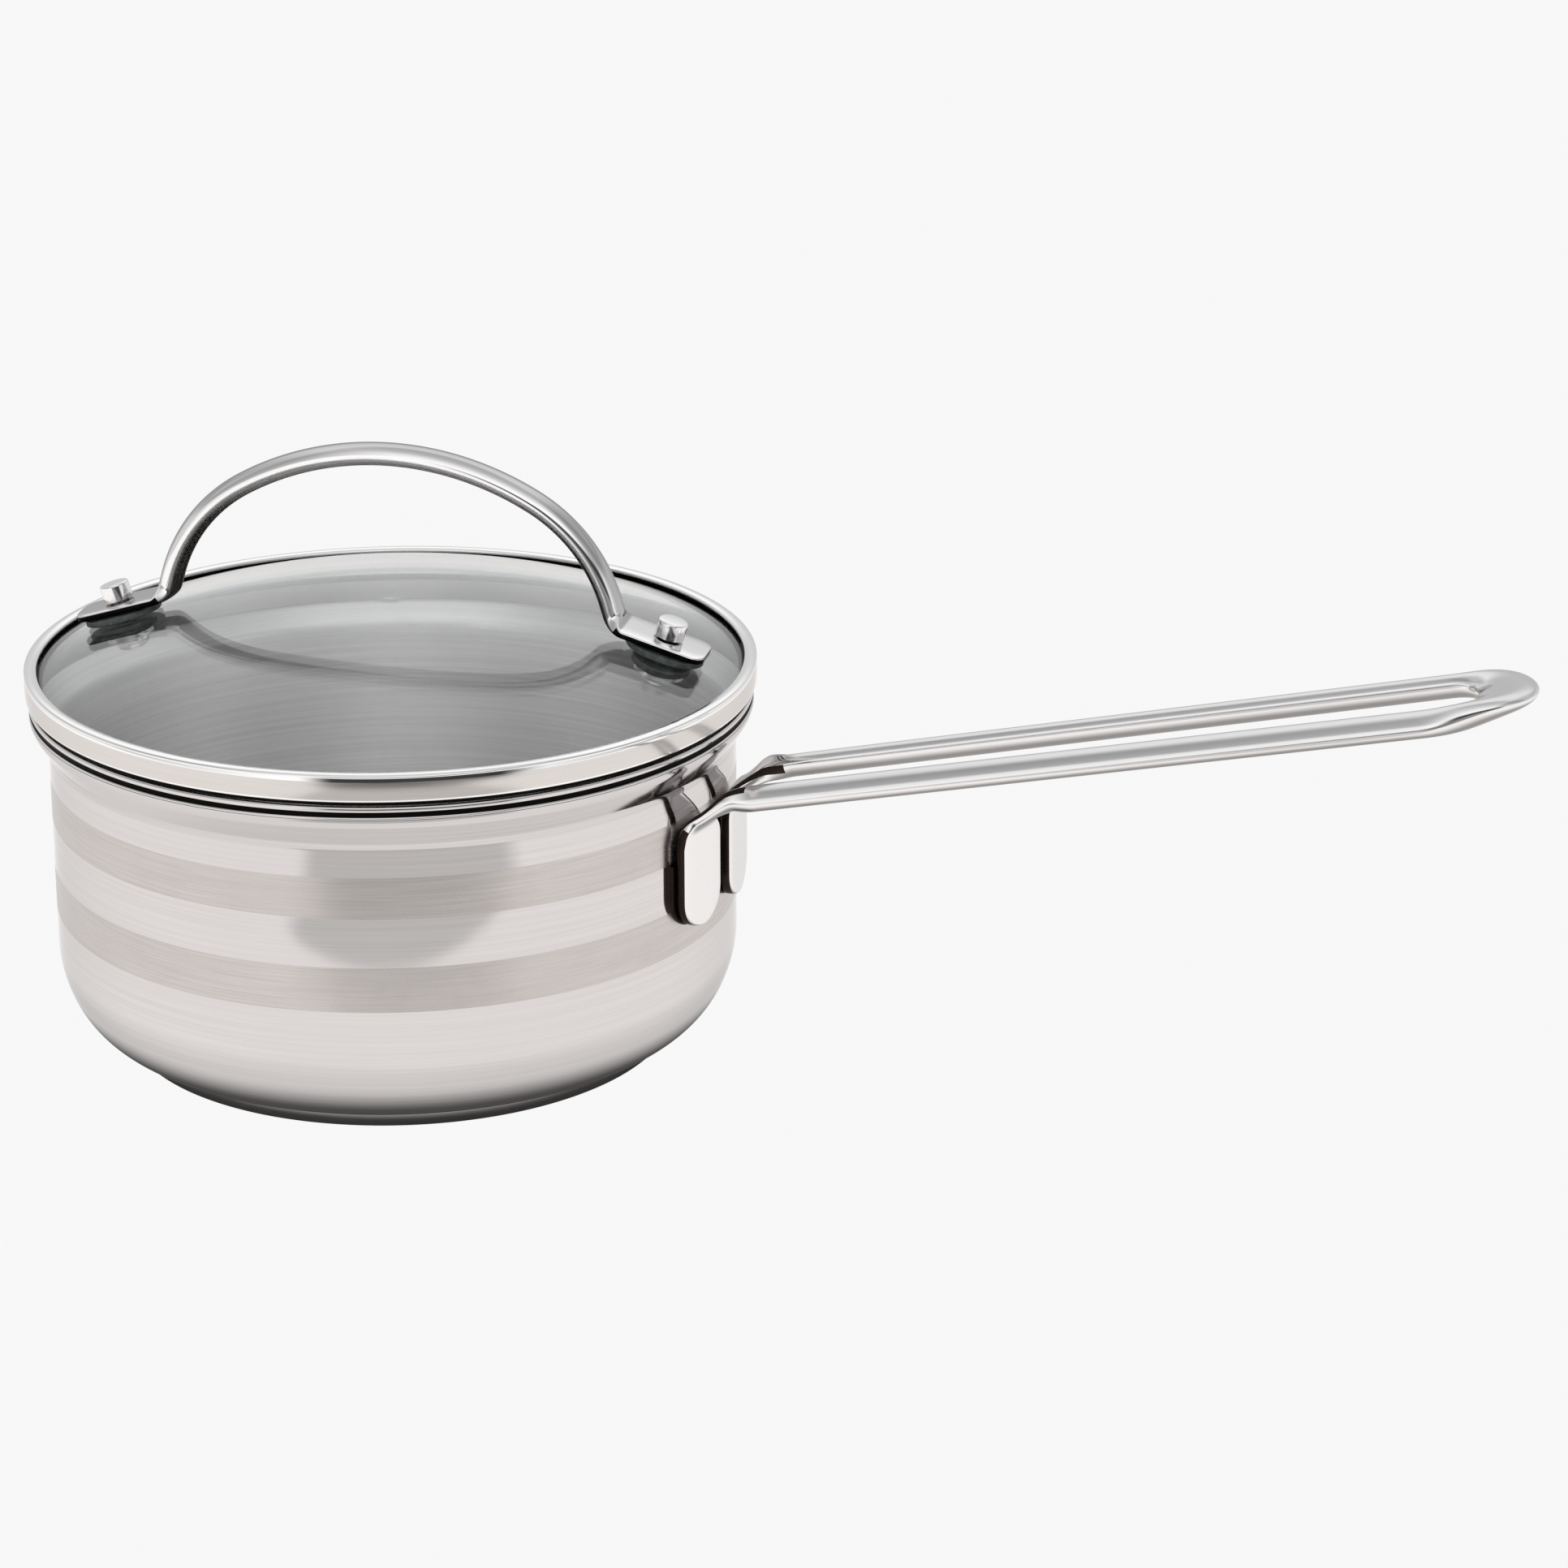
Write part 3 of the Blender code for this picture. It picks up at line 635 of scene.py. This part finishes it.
def handle_side(side):
    """Stations of one side of the long handle, from the tab's end to the loop."""
    wall = POT_RADIUS + GAP + TAB_THICKNESS / 2
    azimuth = side * atan2(TAB_SPACING, wall)
    foot = wall * cos(azimuth)
    foot_offset = wall * sin(azimuth)
    knee = (foot, GRIP_START_HEIGHT - (GRIP_START - foot) * tan(NECK_RISE))
    neck_corner = (GRIP_START, GRIP_START_HEIGHT)

    line = [(foot, TAB_BOTTOM + TAB_END_RADIUS * share) for share in END_SHARES]
    straight = (foot, knee[1] - STRAIGHT_END)
    line += along(line[-1], straight, 8)[1:]
    bend = bend_points(knee, pi / 2, NECK_RISE, TAB_BEND, 14)
    line += along(straight, bend[0], 6)[1:] + bend[1:]
    second = bend_points(neck_corner, NECK_RISE, GRIP_RISE, NECK_BEND, 8)
    line += along(bend[-1], second[0], 10)[1:] + second[1:]
    past_bend = (GRIP_START + ROUNDING / 2, GRIP_START_HEIGHT + ROUNDING / 2 * tan(GRIP_RISE))
    grip_end = (GRIP_END, GRIP_START_HEIGHT + (GRIP_END - GRIP_START) * tan(GRIP_RISE))
    line += along(second[-1], past_bend, 10)[1:]
    line += along(past_bend, grip_end, 24)[1:]

    stations = []
    for index, (reach, height) in enumerate(line):
        slope = slope_at(line, index)
        along_neck = (reach - foot) / (GRIP_START - foot)
        along_grip = (reach - GRIP_START) / (GRIP_END - GRIP_START)
        if along_grip > 0:
            spacing = GRIP_SPACING_START + (GRIP_SPACING_END - GRIP_SPACING_START) * along_grip
            offset = side * spacing
        else:
            offset = blend(foot_offset, side * GRIP_SPACING_START, along_neck)
        twist = blend(azimuth, 0.0, along_neck)
        upward = Vector((-sin(slope) * cos(twist), -sin(slope) * sin(twist), cos(slope)))
        narrowing = (height - knee[1]) / TAB_TAPER + 0.5
        tab = rounded_end_width(height - TAB_BOTTOM, TAB_WIDTH, TAB_END_RADIUS)
        roundness = (reach - GRIP_START) / ROUNDING + 0.5
        stations.append((
            Vector((reach, offset, height)),
            leaned(upward, Vector((0, -side, 0)), blend(0.0, BAR_LEAN, roundness)),
            blend(blend(tab, NECK_WIDTH, narrowing), BAR_WIDTH, roundness),
            blend(TAB_THICKNESS, BAR_HEIGHT, roundness),
            blend(blend(FLAT_SQUARENESS, NECK_SQUARENESS, narrowing), ROUND, roundness),
        ))
    return stations


def handle_loop_stations(steps):
    """Stations round the loop at the long handle's end."""
    upward = Vector((-sin(GRIP_RISE), 0, cos(GRIP_RISE)))
    stations = []
    for step in range(1, steps):
        turn = pi * step / steps
        swell = sin(turn) ** 2
        reach = GRIP_END + LOOP_REACH * sin(turn)
        height = GRIP_START_HEIGHT + (reach - GRIP_START) * tan(GRIP_RISE)
        point = Vector((reach, GRIP_SPACING_END * cos(turn), height))
        inward = Vector((-sin(turn), -cos(turn), 0))
        stations.append((
            point,
            leaned(upward, inward, BAR_LEAN * (1 - swell)),
            BAR_WIDTH + (LOOP_WIDTH - BAR_WIDTH) * swell,
            BAR_HEIGHT + (LOOP_HEIGHT - BAR_HEIGHT) * swell,
            ROUND,
        ))
    return stations


def make_tab_shadow_fillers(finish):
    """Painted shade: a dark filler in the wedge between each flat tab and the round wall."""
    plane = POT_RADIUS + GAP - SEAM_TO_TAB
    knee_height = GRIP_START_HEIGHT - (GRIP_START - POT_RADIUS) * tan(NECK_RISE)
    top = knee_height - STRAIGHT_END
    heights = [TAB_BOTTOM + TAB_END_RADIUS * share for share in END_SHARES[1:]] + [top]
    for suffix, side in (("left", 1), ("right", -1)):
        turn = Matrix.Rotation(side * atan2(TAB_SPACING, plane), 3, "Z")
        loops = []
        for height in heights:
            half = rounded_end_width(height - TAB_BOTTOM, TAB_WIDTH, TAB_END_RADIUS) / 2 + GAP_SHADE_MARGIN
            spots = [half * (step / 6 - 1) for step in range(13)]
            front = [(plane, across) for across in spots]
            back = [(sqrt((POT_RADIUS + SEAM_TO_WALL) ** 2 - across ** 2), across)
                    for across in spots[::-1]]
            loops.append([turn @ Vector((*spot, height)) for spot in front + back])
        make_piece("painted_dark_shade_" + suffix, loft(loops), [finish], "pot", [])


def make_long_handle(finishes):
    """The bent bar, with painted dark shade on the tabs' narrow sides and the necks' edges."""
    stations = handle_side(1) + handle_loop_stations(56) + handle_side(-1)[::-1]
    piece = make_piece("wire_handle", loft(sweep(stations)), finishes, "pot",
                       ["long_handle"])

    def painted_dark_faces(squareness, turn):
        tab_side = squareness > TAB_FROM and abs(cos(turn)) > 0.93
        neck_edge = NECK_FROM < squareness <= TAB_FROM and 0.2 < sin(turn) < 0.8
        return tab_side or neck_edge

    # Painted shade: the chosen faces take the dark brown steel.
    second_finish(piece, stations, painted_dark_faces)


# ---------------------------------------------------------------- the lid

def dome_height(distance, radius):
    """Height of the glass's outer or inner sphere at a distance from the axis."""
    return DOME_CENTRE + sqrt(radius ** 2 - distance ** 2)


def screw_tilt():
    """Lean of the screws, which stand square to the glass."""
    return atan2(SCREW_DISTANCE, sqrt(DOME_RADIUS ** 2 - SCREW_DISTANCE ** 2))


def screw_places():
    """(suffix, matrix) of each screw's axis on the glass."""
    places = []
    for suffix, turn in (("right", LID_HANDLE_TURN), ("left", LID_HANDLE_TURN + pi)):
        height = dome_height(SCREW_DISTANCE, DOME_RADIUS)
        spot = Matrix.Translation((SCREW_DISTANCE * cos(turn), SCREW_DISTANCE * sin(turn), height))
        places.append((suffix, spot @ Matrix.Rotation(turn, 4, "Z")
                       @ Matrix.Rotation(screw_tilt(), 4, "Y")))
    return places


def drill(piece, diameter):
    """Cuts both screw holes and applies them, leaving plain mesh."""
    for suffix, matrix in screw_places():
        bpy.ops.mesh.primitive_cylinder_add(vertices=SMALL_SIDES, radius=diameter / 2,
                                            depth=DRILL_LENGTH)
        tool = bpy.context.object
        tool.matrix_world = matrix
        step = piece.modifiers.new("hole_" + suffix, "BOOLEAN")
        step.operation = "DIFFERENCE"
        step.object = tool
        bpy.context.view_layer.update()
        made = bpy.data.meshes.new_from_object(
            piece.evaluated_get(bpy.context.evaluated_depsgraph_get()))
        piece.modifiers.clear()
        piece.data = made
        bpy.data.objects.remove(tool)
    piece.data.set_sharp_from_angle(angle=SHARP_EDGE)


def make_glass(glass):
    """The domed glass, with both screw holes drilled."""
    rings = [GLASS_RADIUS * step / 44 for step in range(1, 45)]
    rings[-1] = GLASS_RADIUS - 0.3 * MM
    inner = DOME_RADIUS - GLASS_THICKNESS
    top = [(ring, dome_height(ring, DOME_RADIUS)) for ring in rings]
    under = [(ring, dome_height(ring, inner)) for ring in rings[::-1]]
    edge = [(GLASS_RADIUS, top[-1][1] - 0.4 * MM), (GLASS_RADIUS, under[0][1] + 0.4 * MM)]
    sheet = turned([(0, top + edge + under)], TURN_SIDES)
    piece = make_piece("glass_dome", sheet, [glass], "lid", ["lid_glass"])
    drill(piece, GLASS_HOLE)


def make_band(finishes):
    """The steel rim of the lid: seat, face, bevelled hem and rolled lip."""
    polished, face, shadow_black = range(3)
    inside = BAND_RADIUS - BAND_SHEET
    skirt_inside = SKIRT_RADIUS - BAND_SHEET
    step_radius = BAND_RADIUS - 1.15 * MM
    shelf = SEAT + BAND_SHEET + 0.2 * MM
    rounding = oval((BAND_RADIUS - 0.75 * MM, BAND_FACE_LOW), 0.67 * MM,
                    BAND_FACE_LOW - BAND_FOOT, -pi / 2, 0, 10)
    front = bowed(BAND_RADIUS, BAND_FACE_LOW, BAND_FACE_HIGH, BAND_BULGE, 10)
    hem = [front[-1], (BAND_RADIUS - HEM_DEPTH, HEM_TOP)]
    lip_centre = ((BAND_LIP_RADIUS + BAND_RADIUS) / 2, BAND_TOP - LIP_HALF_HEIGHT)
    lip = oval(lip_centre, (BAND_RADIUS - BAND_LIP_RADIUS) / 2, LIP_HALF_HEIGHT,
               radians(-15), pi, 30)
    lip_bottom = dome_height(BAND_LIP_RADIUS, DOME_RADIUS) + GAP
    lip_end = (BAND_LIP_RADIUS, lip_bottom + LIP_GROOVE)
    runs = [
        (polished, [(SKIRT_RADIUS, SKIRT_BOTTOM), (SKIRT_RADIUS, SEAT)]),
        # Painted shade: the step under the seat is near-black steel.
        (shadow_black, [(SKIRT_RADIUS, SEAT), (step_radius, SEAT), (step_radius, BAND_FOOT),
                  rounding[0]]),
        (polished, rounding),
        (face, [rounding[-1]] + front),
        (polished, hem + lip + [lip_end]),
        # Painted shade: the recess inside the lip, by the glass, is near-black steel.
        (shadow_black, [lip_end, (BAND_LIP_RADIUS, lip_bottom), (inside, lip_bottom),
                  (inside, shelf)]),
        (polished, [(inside, shelf), (skirt_inside, shelf), (skirt_inside, SKIRT_BOTTOM)]),
    ]
    make_piece("lid_rim", turned(runs, TURN_SIDES, True), finishes, "lid",
               ["lid_band"])


def lid_handle_line():
    """Right half of the lid handle's centre line, and how round the bar is there."""
    tilt = screw_tilt()
    foot_height = (FOOT_BOTTOM + FOOT_TOP) / 2
    middle = (SCREW_DISTANCE + foot_height * sin(tilt),
              dome_height(SCREW_DISTANCE, DOME_RADIUS) + foot_height * cos(tilt))
    crown_centre = ARCH_TOP - ARCH_THICKNESS / 2 - CROWN_RADIUS
    joint = (CROWN_RADIUS * sin(CROWN_HALF), crown_centre + CROWN_RADIUS * cos(CROWN_HALF))
    centre = (joint[0] - SHOULDER_RADIUS * sin(CROWN_HALF),
              joint[1] - SHOULDER_RADIUS * cos(CROWN_HALF))
    leg_top = (centre[0] + SHOULDER_RADIUS * sin(LEG_LEAN),
               centre[1] + SHOULDER_RADIUS * cos(LEG_LEAN))
    leg_fall = tan(LEG_LEAN)
    foot_fall = tan(tilt)
    knee_out = leg_top[1] - middle[1] + leg_fall * leg_top[0] - foot_fall * middle[0]
    knee_out /= leg_fall - foot_fall
    knee = (knee_out, middle[1] - foot_fall * (knee_out - middle[0]))

    line = []
    for share in END_SHARES:
        beyond = FOOT_LENGTH - FOOT_CORNER * share
        line.append((middle[0] + beyond * cos(tilt), middle[1] - beyond * sin(tilt)))
    bend = bend_points(knee, pi - tilt, pi - LEG_LEAN, FOOT_BEND, 24)
    line += along(line[-1], bend[0], 6)[1:]
    shoulder = arc(centre, SHOULDER_RADIUS, pi / 2 - LEG_LEAN, pi / 2 - CROWN_HALF, 28)
    crown = arc((0, crown_centre), CROWN_RADIUS, pi / 2 - CROWN_HALF, pi / 2, 24)
    roundness = [0.0] * len(line) + [step / 24 for step in range(1, 25)]
    line += bend[1:] + along(bend[-1], shoulder[0], 4)[1:] + shoulder[1:] + crown[1:]
    roundness += [1.0] * (len(line) - len(roundness))
    return line, roundness


def make_lid_handle(finishes):
    """The arch on two flat feet, with painted black shade along their lower edges."""
    half, roundness = lid_handle_line()
    line = half + [(-out, up) for out, up in half[-2::-1]]
    roundness = roundness + roundness[-2::-1]
    turn = Matrix.Rotation(LID_HANDLE_TURN, 3, "Z")
    stations = []
    for index, (out, up) in enumerate(line):
        slope = slope_at(line, index)
        end = line[0] if index <= len(line) // 2 else line[-1]
        distance = hypot(out - end[0], up - end[1])
        width = rounded_end_width(distance, FOOT_WIDTH, FOOT_CORNER)
        stations.append((
            turn @ Vector((out, 0, up)),
            turn @ Vector((sin(slope), 0, -cos(slope))),
            blend(width, ARCH_WIDTH, roundness[index]),
            blend(FOOT_THICKNESS, ARCH_THICKNESS, roundness[index]),
            blend(FLAT_SQUARENESS, ROUND, roundness[index]),
        ))
    piece = make_piece("arch_handle", loft(sweep(stations)), finishes, "lid",
                       ["lid_handle"])
    # Painted shade: the feet's lower edges take the near-black steel.
    second_finish(piece, stations,
                  lambda squareness, turn: squareness > FOOT_FROM and sin(turn) < 0.25)
    drill(piece, 2 * BORE_RADIUS)


def foot_pad_sheet():
    """Pad under a foot with rounded edges, and a sleeve through the glass."""
    sides = SMALL_SIDES

    def rim(inset, height):
        stretch = (PAD_LENGTH / 2 - inset) / (PAD_WIDTH / 2 - inset)
        return [Vector((point.x * stretch, point.y, height))
                for point in circle(PAD_WIDTH / 2 - inset, height, sides)]

    sleeve_bottom = -GLASS_THICKNESS + GAP
    loops = [rim(0.35 * MM, PAD_TOP), rim(0.1 * MM, PAD_TOP - 0.1 * MM),
             rim(0.0, PAD_TOP - 0.35 * MM), rim(0.0, GAP + 0.3 * MM), rim(0.3 * MM, GAP)]
    loops += [circle(SLEEVE_DIAMETER / 2, height, sides) for height in (GAP, sleeve_bottom)]
    loops += [circle(BORE_RADIUS, height, sides) for height in (sleeve_bottom, PAD_TOP)]
    return loft(loops, None, True)


def cap_nut_sheet():
    """Closed nut: a small upright cylinder with a rounded top edge."""
    radius = CAP_DIAMETER / 2
    top = CAP_BOTTOM + CAP_HEIGHT
    edge = 0.5 * MM
    runs = [(0, [(0.4 * MM, top)] + arc((radius - edge, top - edge), edge, pi / 2, 0, 8)
             + [(radius, CAP_BOTTOM + 0.2 * MM), (radius - 0.2 * MM, CAP_BOTTOM),
                (BORE_RADIUS, CAP_BOTTOM), (BORE_RADIUS, top - 1.1 * MM),
                (0.4 * MM, top - 1.1 * MM)])]
    return turned(runs, SMALL_SIDES)


def ring_sheet(diameter, top, thickness, edge):
    """Flat ring round the screw, with bevelled outer edges."""
    outer = diameter / 2
    runs = [(0, [(BORE_RADIUS, top), (outer - edge, top), (outer, top - edge),
                 (outer, top - thickness + edge), (outer - edge, top - thickness),
                 (BORE_RADIUS, top - thickness)])]
    return turned(runs, SMALL_SIDES, True)


def screw_sheet():
    """Pan head screw with a plain dome, head down and shank up."""
    head = SCREW_HEAD_DIAMETER / 2
    bottom = SCREW_HEAD_TOP - SCREW_HEAD_HEIGHT
    shank = SCREW_DIAMETER / 2
    end = CAP_BOTTOM + CAP_HEIGHT - 1.4 * MM
    dome = oval((head * 0.55, SCREW_HEAD_TOP - 0.7 * MM), head * 0.45,
                SCREW_HEAD_HEIGHT - 0.7 * MM, -pi / 2, 0, 10)
    runs = [(0, [(0.5 * MM, bottom)] + dome
             + [(head, SCREW_HEAD_TOP), (shank, SCREW_HEAD_TOP),
                (shank, end - 0.3 * MM), (shank - 0.3 * MM, end)])]
    return turned(runs, SMALL_SIDES)


def make_fixings(polished, rubber, pale_rubber):
    """Cap nut, cushions, washer and screw at each end of the lid handle."""
    kinds = (
        ("cap", cap_nut_sheet, polished, "polished_steel", "cap_nut"),
        ("upper_cushion", foot_pad_sheet, rubber, "pad_silicone", "foot_pad"),
        ("lower_cushion",
         lambda: ring_sheet(LOWER_PAD_DIAMETER, LOWER_PAD_TOP, LOWER_PAD_THICKNESS, 0.25 * MM),
         pale_rubber, "pad_silicone", "lower_pad"),
        ("flat_ring",
         lambda: ring_sheet(WASHER_DIAMETER, WASHER_TOP, WASHER_THICKNESS, 0.12 * MM),
         polished, "polished_steel", "washer"),
        ("pan_screw", screw_sheet, polished, "polished_steel", "lid_screw"),
    )
    for suffix, matrix in screw_places():
        for name, build, finish, slot, node in kinds:
            sheet = build()
            bmesh.ops.transform(sheet, matrix=matrix, verts=sheet.verts)
            make_piece(name + "_" + suffix, sheet, [finish], "lid", [node + "_" + suffix])


# ---------------------------------------------------------------- studio

def window(tree, value, rise, fall):
    """One between a rising and a falling ramp, and nought outside them."""
    return calc(tree, "MULTIPLY", ramp(tree, value, *rise), ramp(tree, value, *fall, 1.0, 0.0))


def dimmed(tree, level, where, share):
    """Level with a share of it taken away where a mask is one."""
    return calc(tree, "MULTIPLY", level, calc(tree, "MULTIPLY_ADD", where, -share, 1.0))


def show_two(tree, lit, seen, output_kind):
    """One shader lights the object and shows in its steel; the camera sees the other."""
    path = tree.nodes.new("ShaderNodeLightPath")
    chosen = tree.nodes.new("ShaderNodeMixShader")
    tree.links.new(path.outputs["Is Camera Ray"], chosen.inputs[0])
    tree.links.new(lit.outputs[0], chosen.inputs[1])
    tree.links.new(seen.outputs[0], chosen.inputs[2])
    output = tree.nodes.new(output_kind)
    tree.links.new(chosen.outputs[0], output.inputs["Surface"])


def make_floor():
    """Wide white floor. Its mirror image in the steel is graded like a lit table top."""
    mesh = bpy.data.meshes.new("floor")
    sheet = bmesh.new()
    sheet.faces.new([sheet.verts.new(point) for point in circle(30.0, -0.0002, 96)])
    sheet.to_mesh(mesh)
    sheet.free()
    floor = bpy.data.objects.new("floor", mesh)
    bpy.context.scene.collection.objects.link(floor)

    made = bpy.data.materials.new("floor_paper")
    made.use_nodes = True
    tree = made.node_tree
    tree.nodes.clear()
    place = position(tree)
    across = dot(tree, place, SIDEWAYS)
    ahead = dot(tree, place, FRONT)
    # Darker part of the table in front of the pot
    dark = calc(tree, "MULTIPLY", window(tree, across, (-0.105, -0.078), (0.140, 0.170)),
                ramp(tree, ahead, 0.188, 0.198))
    tone = calc(tree, "MULTIPLY_ADD", dark, -0.36, 1.06)
    # Unlit table further out, wider with distance
    left = calc(tree, "MULTIPLY_ADD", ahead, 0.3, across)
    right = calc(tree, "MULTIPLY_ADD", ahead, -0.8, across)
    spread = calc(tree, "MULTIPLY", ramp(tree, left, -0.03, 0.03),
                  ramp(tree, right, -0.05, 0.05, 1.0, 0.0))
    unlit = calc(tree, "MULTIPLY", spread, ramp(tree, ahead, 0.345, 0.42))
    tone = dimmed(tree, tone, unlit, 0.7)
    # Greyer paper behind the pot
    tone = calc(tree, "MULTIPLY", tone, ramp(tree, ahead, -0.60, -0.25, 0.80, 1.0))
    # Contact shadow round the base
    away = add(tree, "ShaderNodeVectorMath", operation="LENGTH")
    tree.links.new(place, away.inputs[0])
    contact = calc(tree, "ADD", ramp(tree, away.outputs["Value"], 0.069, 0.086, 0.10, 0.82),
                   ramp(tree, away.outputs["Value"], 0.086, 0.112, 0.0, 0.18))
    lit = add(tree, "ShaderNodeEmission")
    tree.links.new(calc(tree, "MULTIPLY", tone, contact), lit.inputs["Strength"])
    lit.inputs["Color"].default_value = (1.0, 0.985, 0.975, 1.0)
    seen = add(tree, "ShaderNodeEmission", Strength=PAPER)
    show_two(tree, lit, seen, "ShaderNodeOutputMaterial")
    mesh.materials.append(made)


def make_world():
    """Room: bright ahead and high up behind, dimmer at the sides, plain white to look at."""
    world = bpy.data.worlds.new("studio")
    bpy.context.scene.world = world
    world.use_nodes = True
    tree = world.node_tree
    tree.nodes.clear()
    direction = tree.nodes.new("ShaderNodeTexCoord").outputs["Generated"]
    ahead = dot(tree, direction, FRONT)
    across = dot(tree, direction, SIDEWAYS)
    height = dot(tree, direction, UP)
    forward = calc(tree, "POWER", calc(tree, "MAXIMUM", ahead, 0.0), 1.7)
    room = calc(tree, "MULTIPLY_ADD", forward, 0.62, 0.66)
    # Bright panel high up behind the pot
    panel = calc(tree, "MULTIPLY", ramp(tree, height, 0.28, 0.50, 0.25, 1.0),
                 ramp(tree, height, 0.80, 0.95, 1.0, 0.0))
    behind = calc(tree, "MULTIPLY", ramp(tree, ahead, -0.3, 0.1, 1.0, 0.0), panel)
    room = calc(tree, "MULTIPLY_ADD", behind, 0.46, room)
    # Unlit side of the room in front, above the table's far edge
    unlit = calc(tree, "MULTIPLY", window(tree, across, (-0.44, -0.24), (0.58, 0.80)),
                 ramp(tree, ahead, 0.2, 0.5))
    unlit = calc(tree, "MULTIPLY", unlit, ramp(tree, height, 0.22, 0.42, 1.0, 0.0))
    room = dimmed(tree, room, unlit, 0.96)
    # Dimmer left and right sides of the room, above the table
    flanks = calc(tree, "MULTIPLY", ramp(tree, calc(tree, "ABSOLUTE", across), 0.35, 0.70),
                  ramp(tree, height, 0.20, 0.40))
    room = dimmed(tree, room, flanks, 0.45)
    lit = add(tree, "ShaderNodeBackground")
    lit.inputs["Color"].default_value = (0.985, 0.99, 1.0, 1.0)
    tree.links.new(room, lit.inputs["Strength"])
    seen = add(tree, "ShaderNodeBackground", Strength=PAPER)
    show_two(tree, lit, seen, "ShaderNodeOutputWorld")


def make_camera():
    lens = bpy.data.cameras.new("camera")
    lens.lens = CAMERA_LENS
    lens.sensor_width = CAMERA_SENSOR
    lens.shift_y = CAMERA_SHIFT
    camera = bpy.data.objects.new("camera", lens)
    bpy.context.scene.collection.objects.link(camera)
    back = Vector((sin(CAMERA_AZIMUTH) * cos(CAMERA_ELEVATION),
                   -cos(CAMERA_AZIMUTH) * cos(CAMERA_ELEVATION), sin(CAMERA_ELEVATION)))
    camera.location = CAMERA_TARGET + back * CAMERA_DISTANCE
    camera.rotation_euler = (-back).to_track_quat("-Z", "Y").to_euler()
    bpy.context.scene.camera = camera


# ---------------------------------------------------------------- build

def main():
    buffed = dict(streaks=0.03, tone=0.03, fine=1400.0, coarse=12.0, depth=0.0006, ripple=0.015)
    drawn = dict(streaks=0.05, tone=0.012, fine=2200.0, coarse=90.0, depth=0.0006, ripple=0.008)

    mirror = steel("polished_wall", (0.69, 0.665, 0.66), 0.075, **buffed)
    # Darker copy of the wall's steel, for painted shade on the flare
    fold_shade = steel("polished_fold", (0.64, 0.615, 0.61), 0.10, **buffed)
    satin = steel("satin_band", (0.62, 0.583, 0.568), 0.27, streaks=0.06, tone=0.06,
                  depth=0.002, ripple=0.0, anisotropy=0.8)
    brushed = steel("brushed_inside", (0.96, 0.945, 0.94), 0.34, streaks=0.05, tone=0.10,
                    fine=1100.0, coarse=9.0, depth=0.004, ripple=0.0, anisotropy=0.85)
    # Near-black steel for painted shade in creases, recesses and under the lid handle's feet
    shadow_black = steel("groove_steel", (0.008, 0.0075, 0.007), 0.5, streaks=0.1)
    rim = steel("polished_rim", (0.92, 0.91, 0.90), 0.06, streaks=0.03, tone=0.012,
                depth=0.0004, ripple=0.01)
    face = steel("rim_face", (0.70, 0.665, 0.64), 0.16, streaks=0.06, tone=0.02,
                 depth=0.001, ripple=0.0)
    # The bars' undersides and tops get painted shade
    bar = steel("polished_bar", (0.84, 0.83, 0.825), 0.12, grain="x", **drawn,
                shade=painted_underside_shade(darkest_shade=(0.27, 0.26, 0.255), top=(0.68, 0.67, 0.67)))
    # The arch gets painted shade where it faces the lid and on its outside
    arch = steel("polished_arch", (0.92, 0.905, 0.905), 0.10, grain="arch", **drawn,
                 edge=(0.5, 0.5, 0.5),
                 shade=painted_lid_shade(darkest_shade=(0.07, 0.065, 0.06), crown=(0.46, 0.44, 0.43),
                                  outer=(0.58, 0.57, 0.57)))
    fixing = steel("fixing_steel", (0.90, 0.89, 0.885), 0.11, streaks=0.05, tone=0.02,
                   depth=0.0008, ripple=0.0)
    # Darkened steel for painted shade on the tray's edge
    edge = steel("base_edge", (0.30, 0.29, 0.285), 0.24, streaks=0.1, tone=0.05, depth=0.002,
                 ripple=0.0)
    bottom = steel("base_bottom", (0.58, 0.58, 0.58), 0.28, streaks=0.16, tone=0.09,
                   fine=1500.0, coarse=18.0, depth=0.006, ripple=0.0, anisotropy=0.5)
    core = steel("base_core", (0.62, 0.63, 0.64), 0.45, streaks=0.1, tone=0.05)
    # Dark brown steel for painted shade beside the tabs and on the long handle's edges
    brown_shade_steel = steel("painted_dark_shade", (0.040, 0.028, 0.024), 0.42, streaks=0.2, tone=0.2)
    glass = lid_glass_material()
    rubber = silicone("dark_silicone", (0.065, 0.075, 0.073))
    pale_rubber = silicone("pale_silicone", (0.17, 0.18, 0.18))

    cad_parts["base_core"].material_slots[0].material = core
    make_pot((mirror, satin, brushed, shadow_black, fold_shade))
    make_base((edge, bottom, rim))
    make_long_handle((bar, brown_shade_steel))
    make_tab_shadow_fillers(brown_shade_steel)
    make_glass(glass)
    make_band((rim, face, shadow_black))
    make_lid_handle((arch, shadow_black))
    make_fixings(fixing, rubber, pale_rubber)

    make_floor()
    make_world()
    make_camera()
    bpy.context.scene.view_settings.view_transform = "Standard"


main()
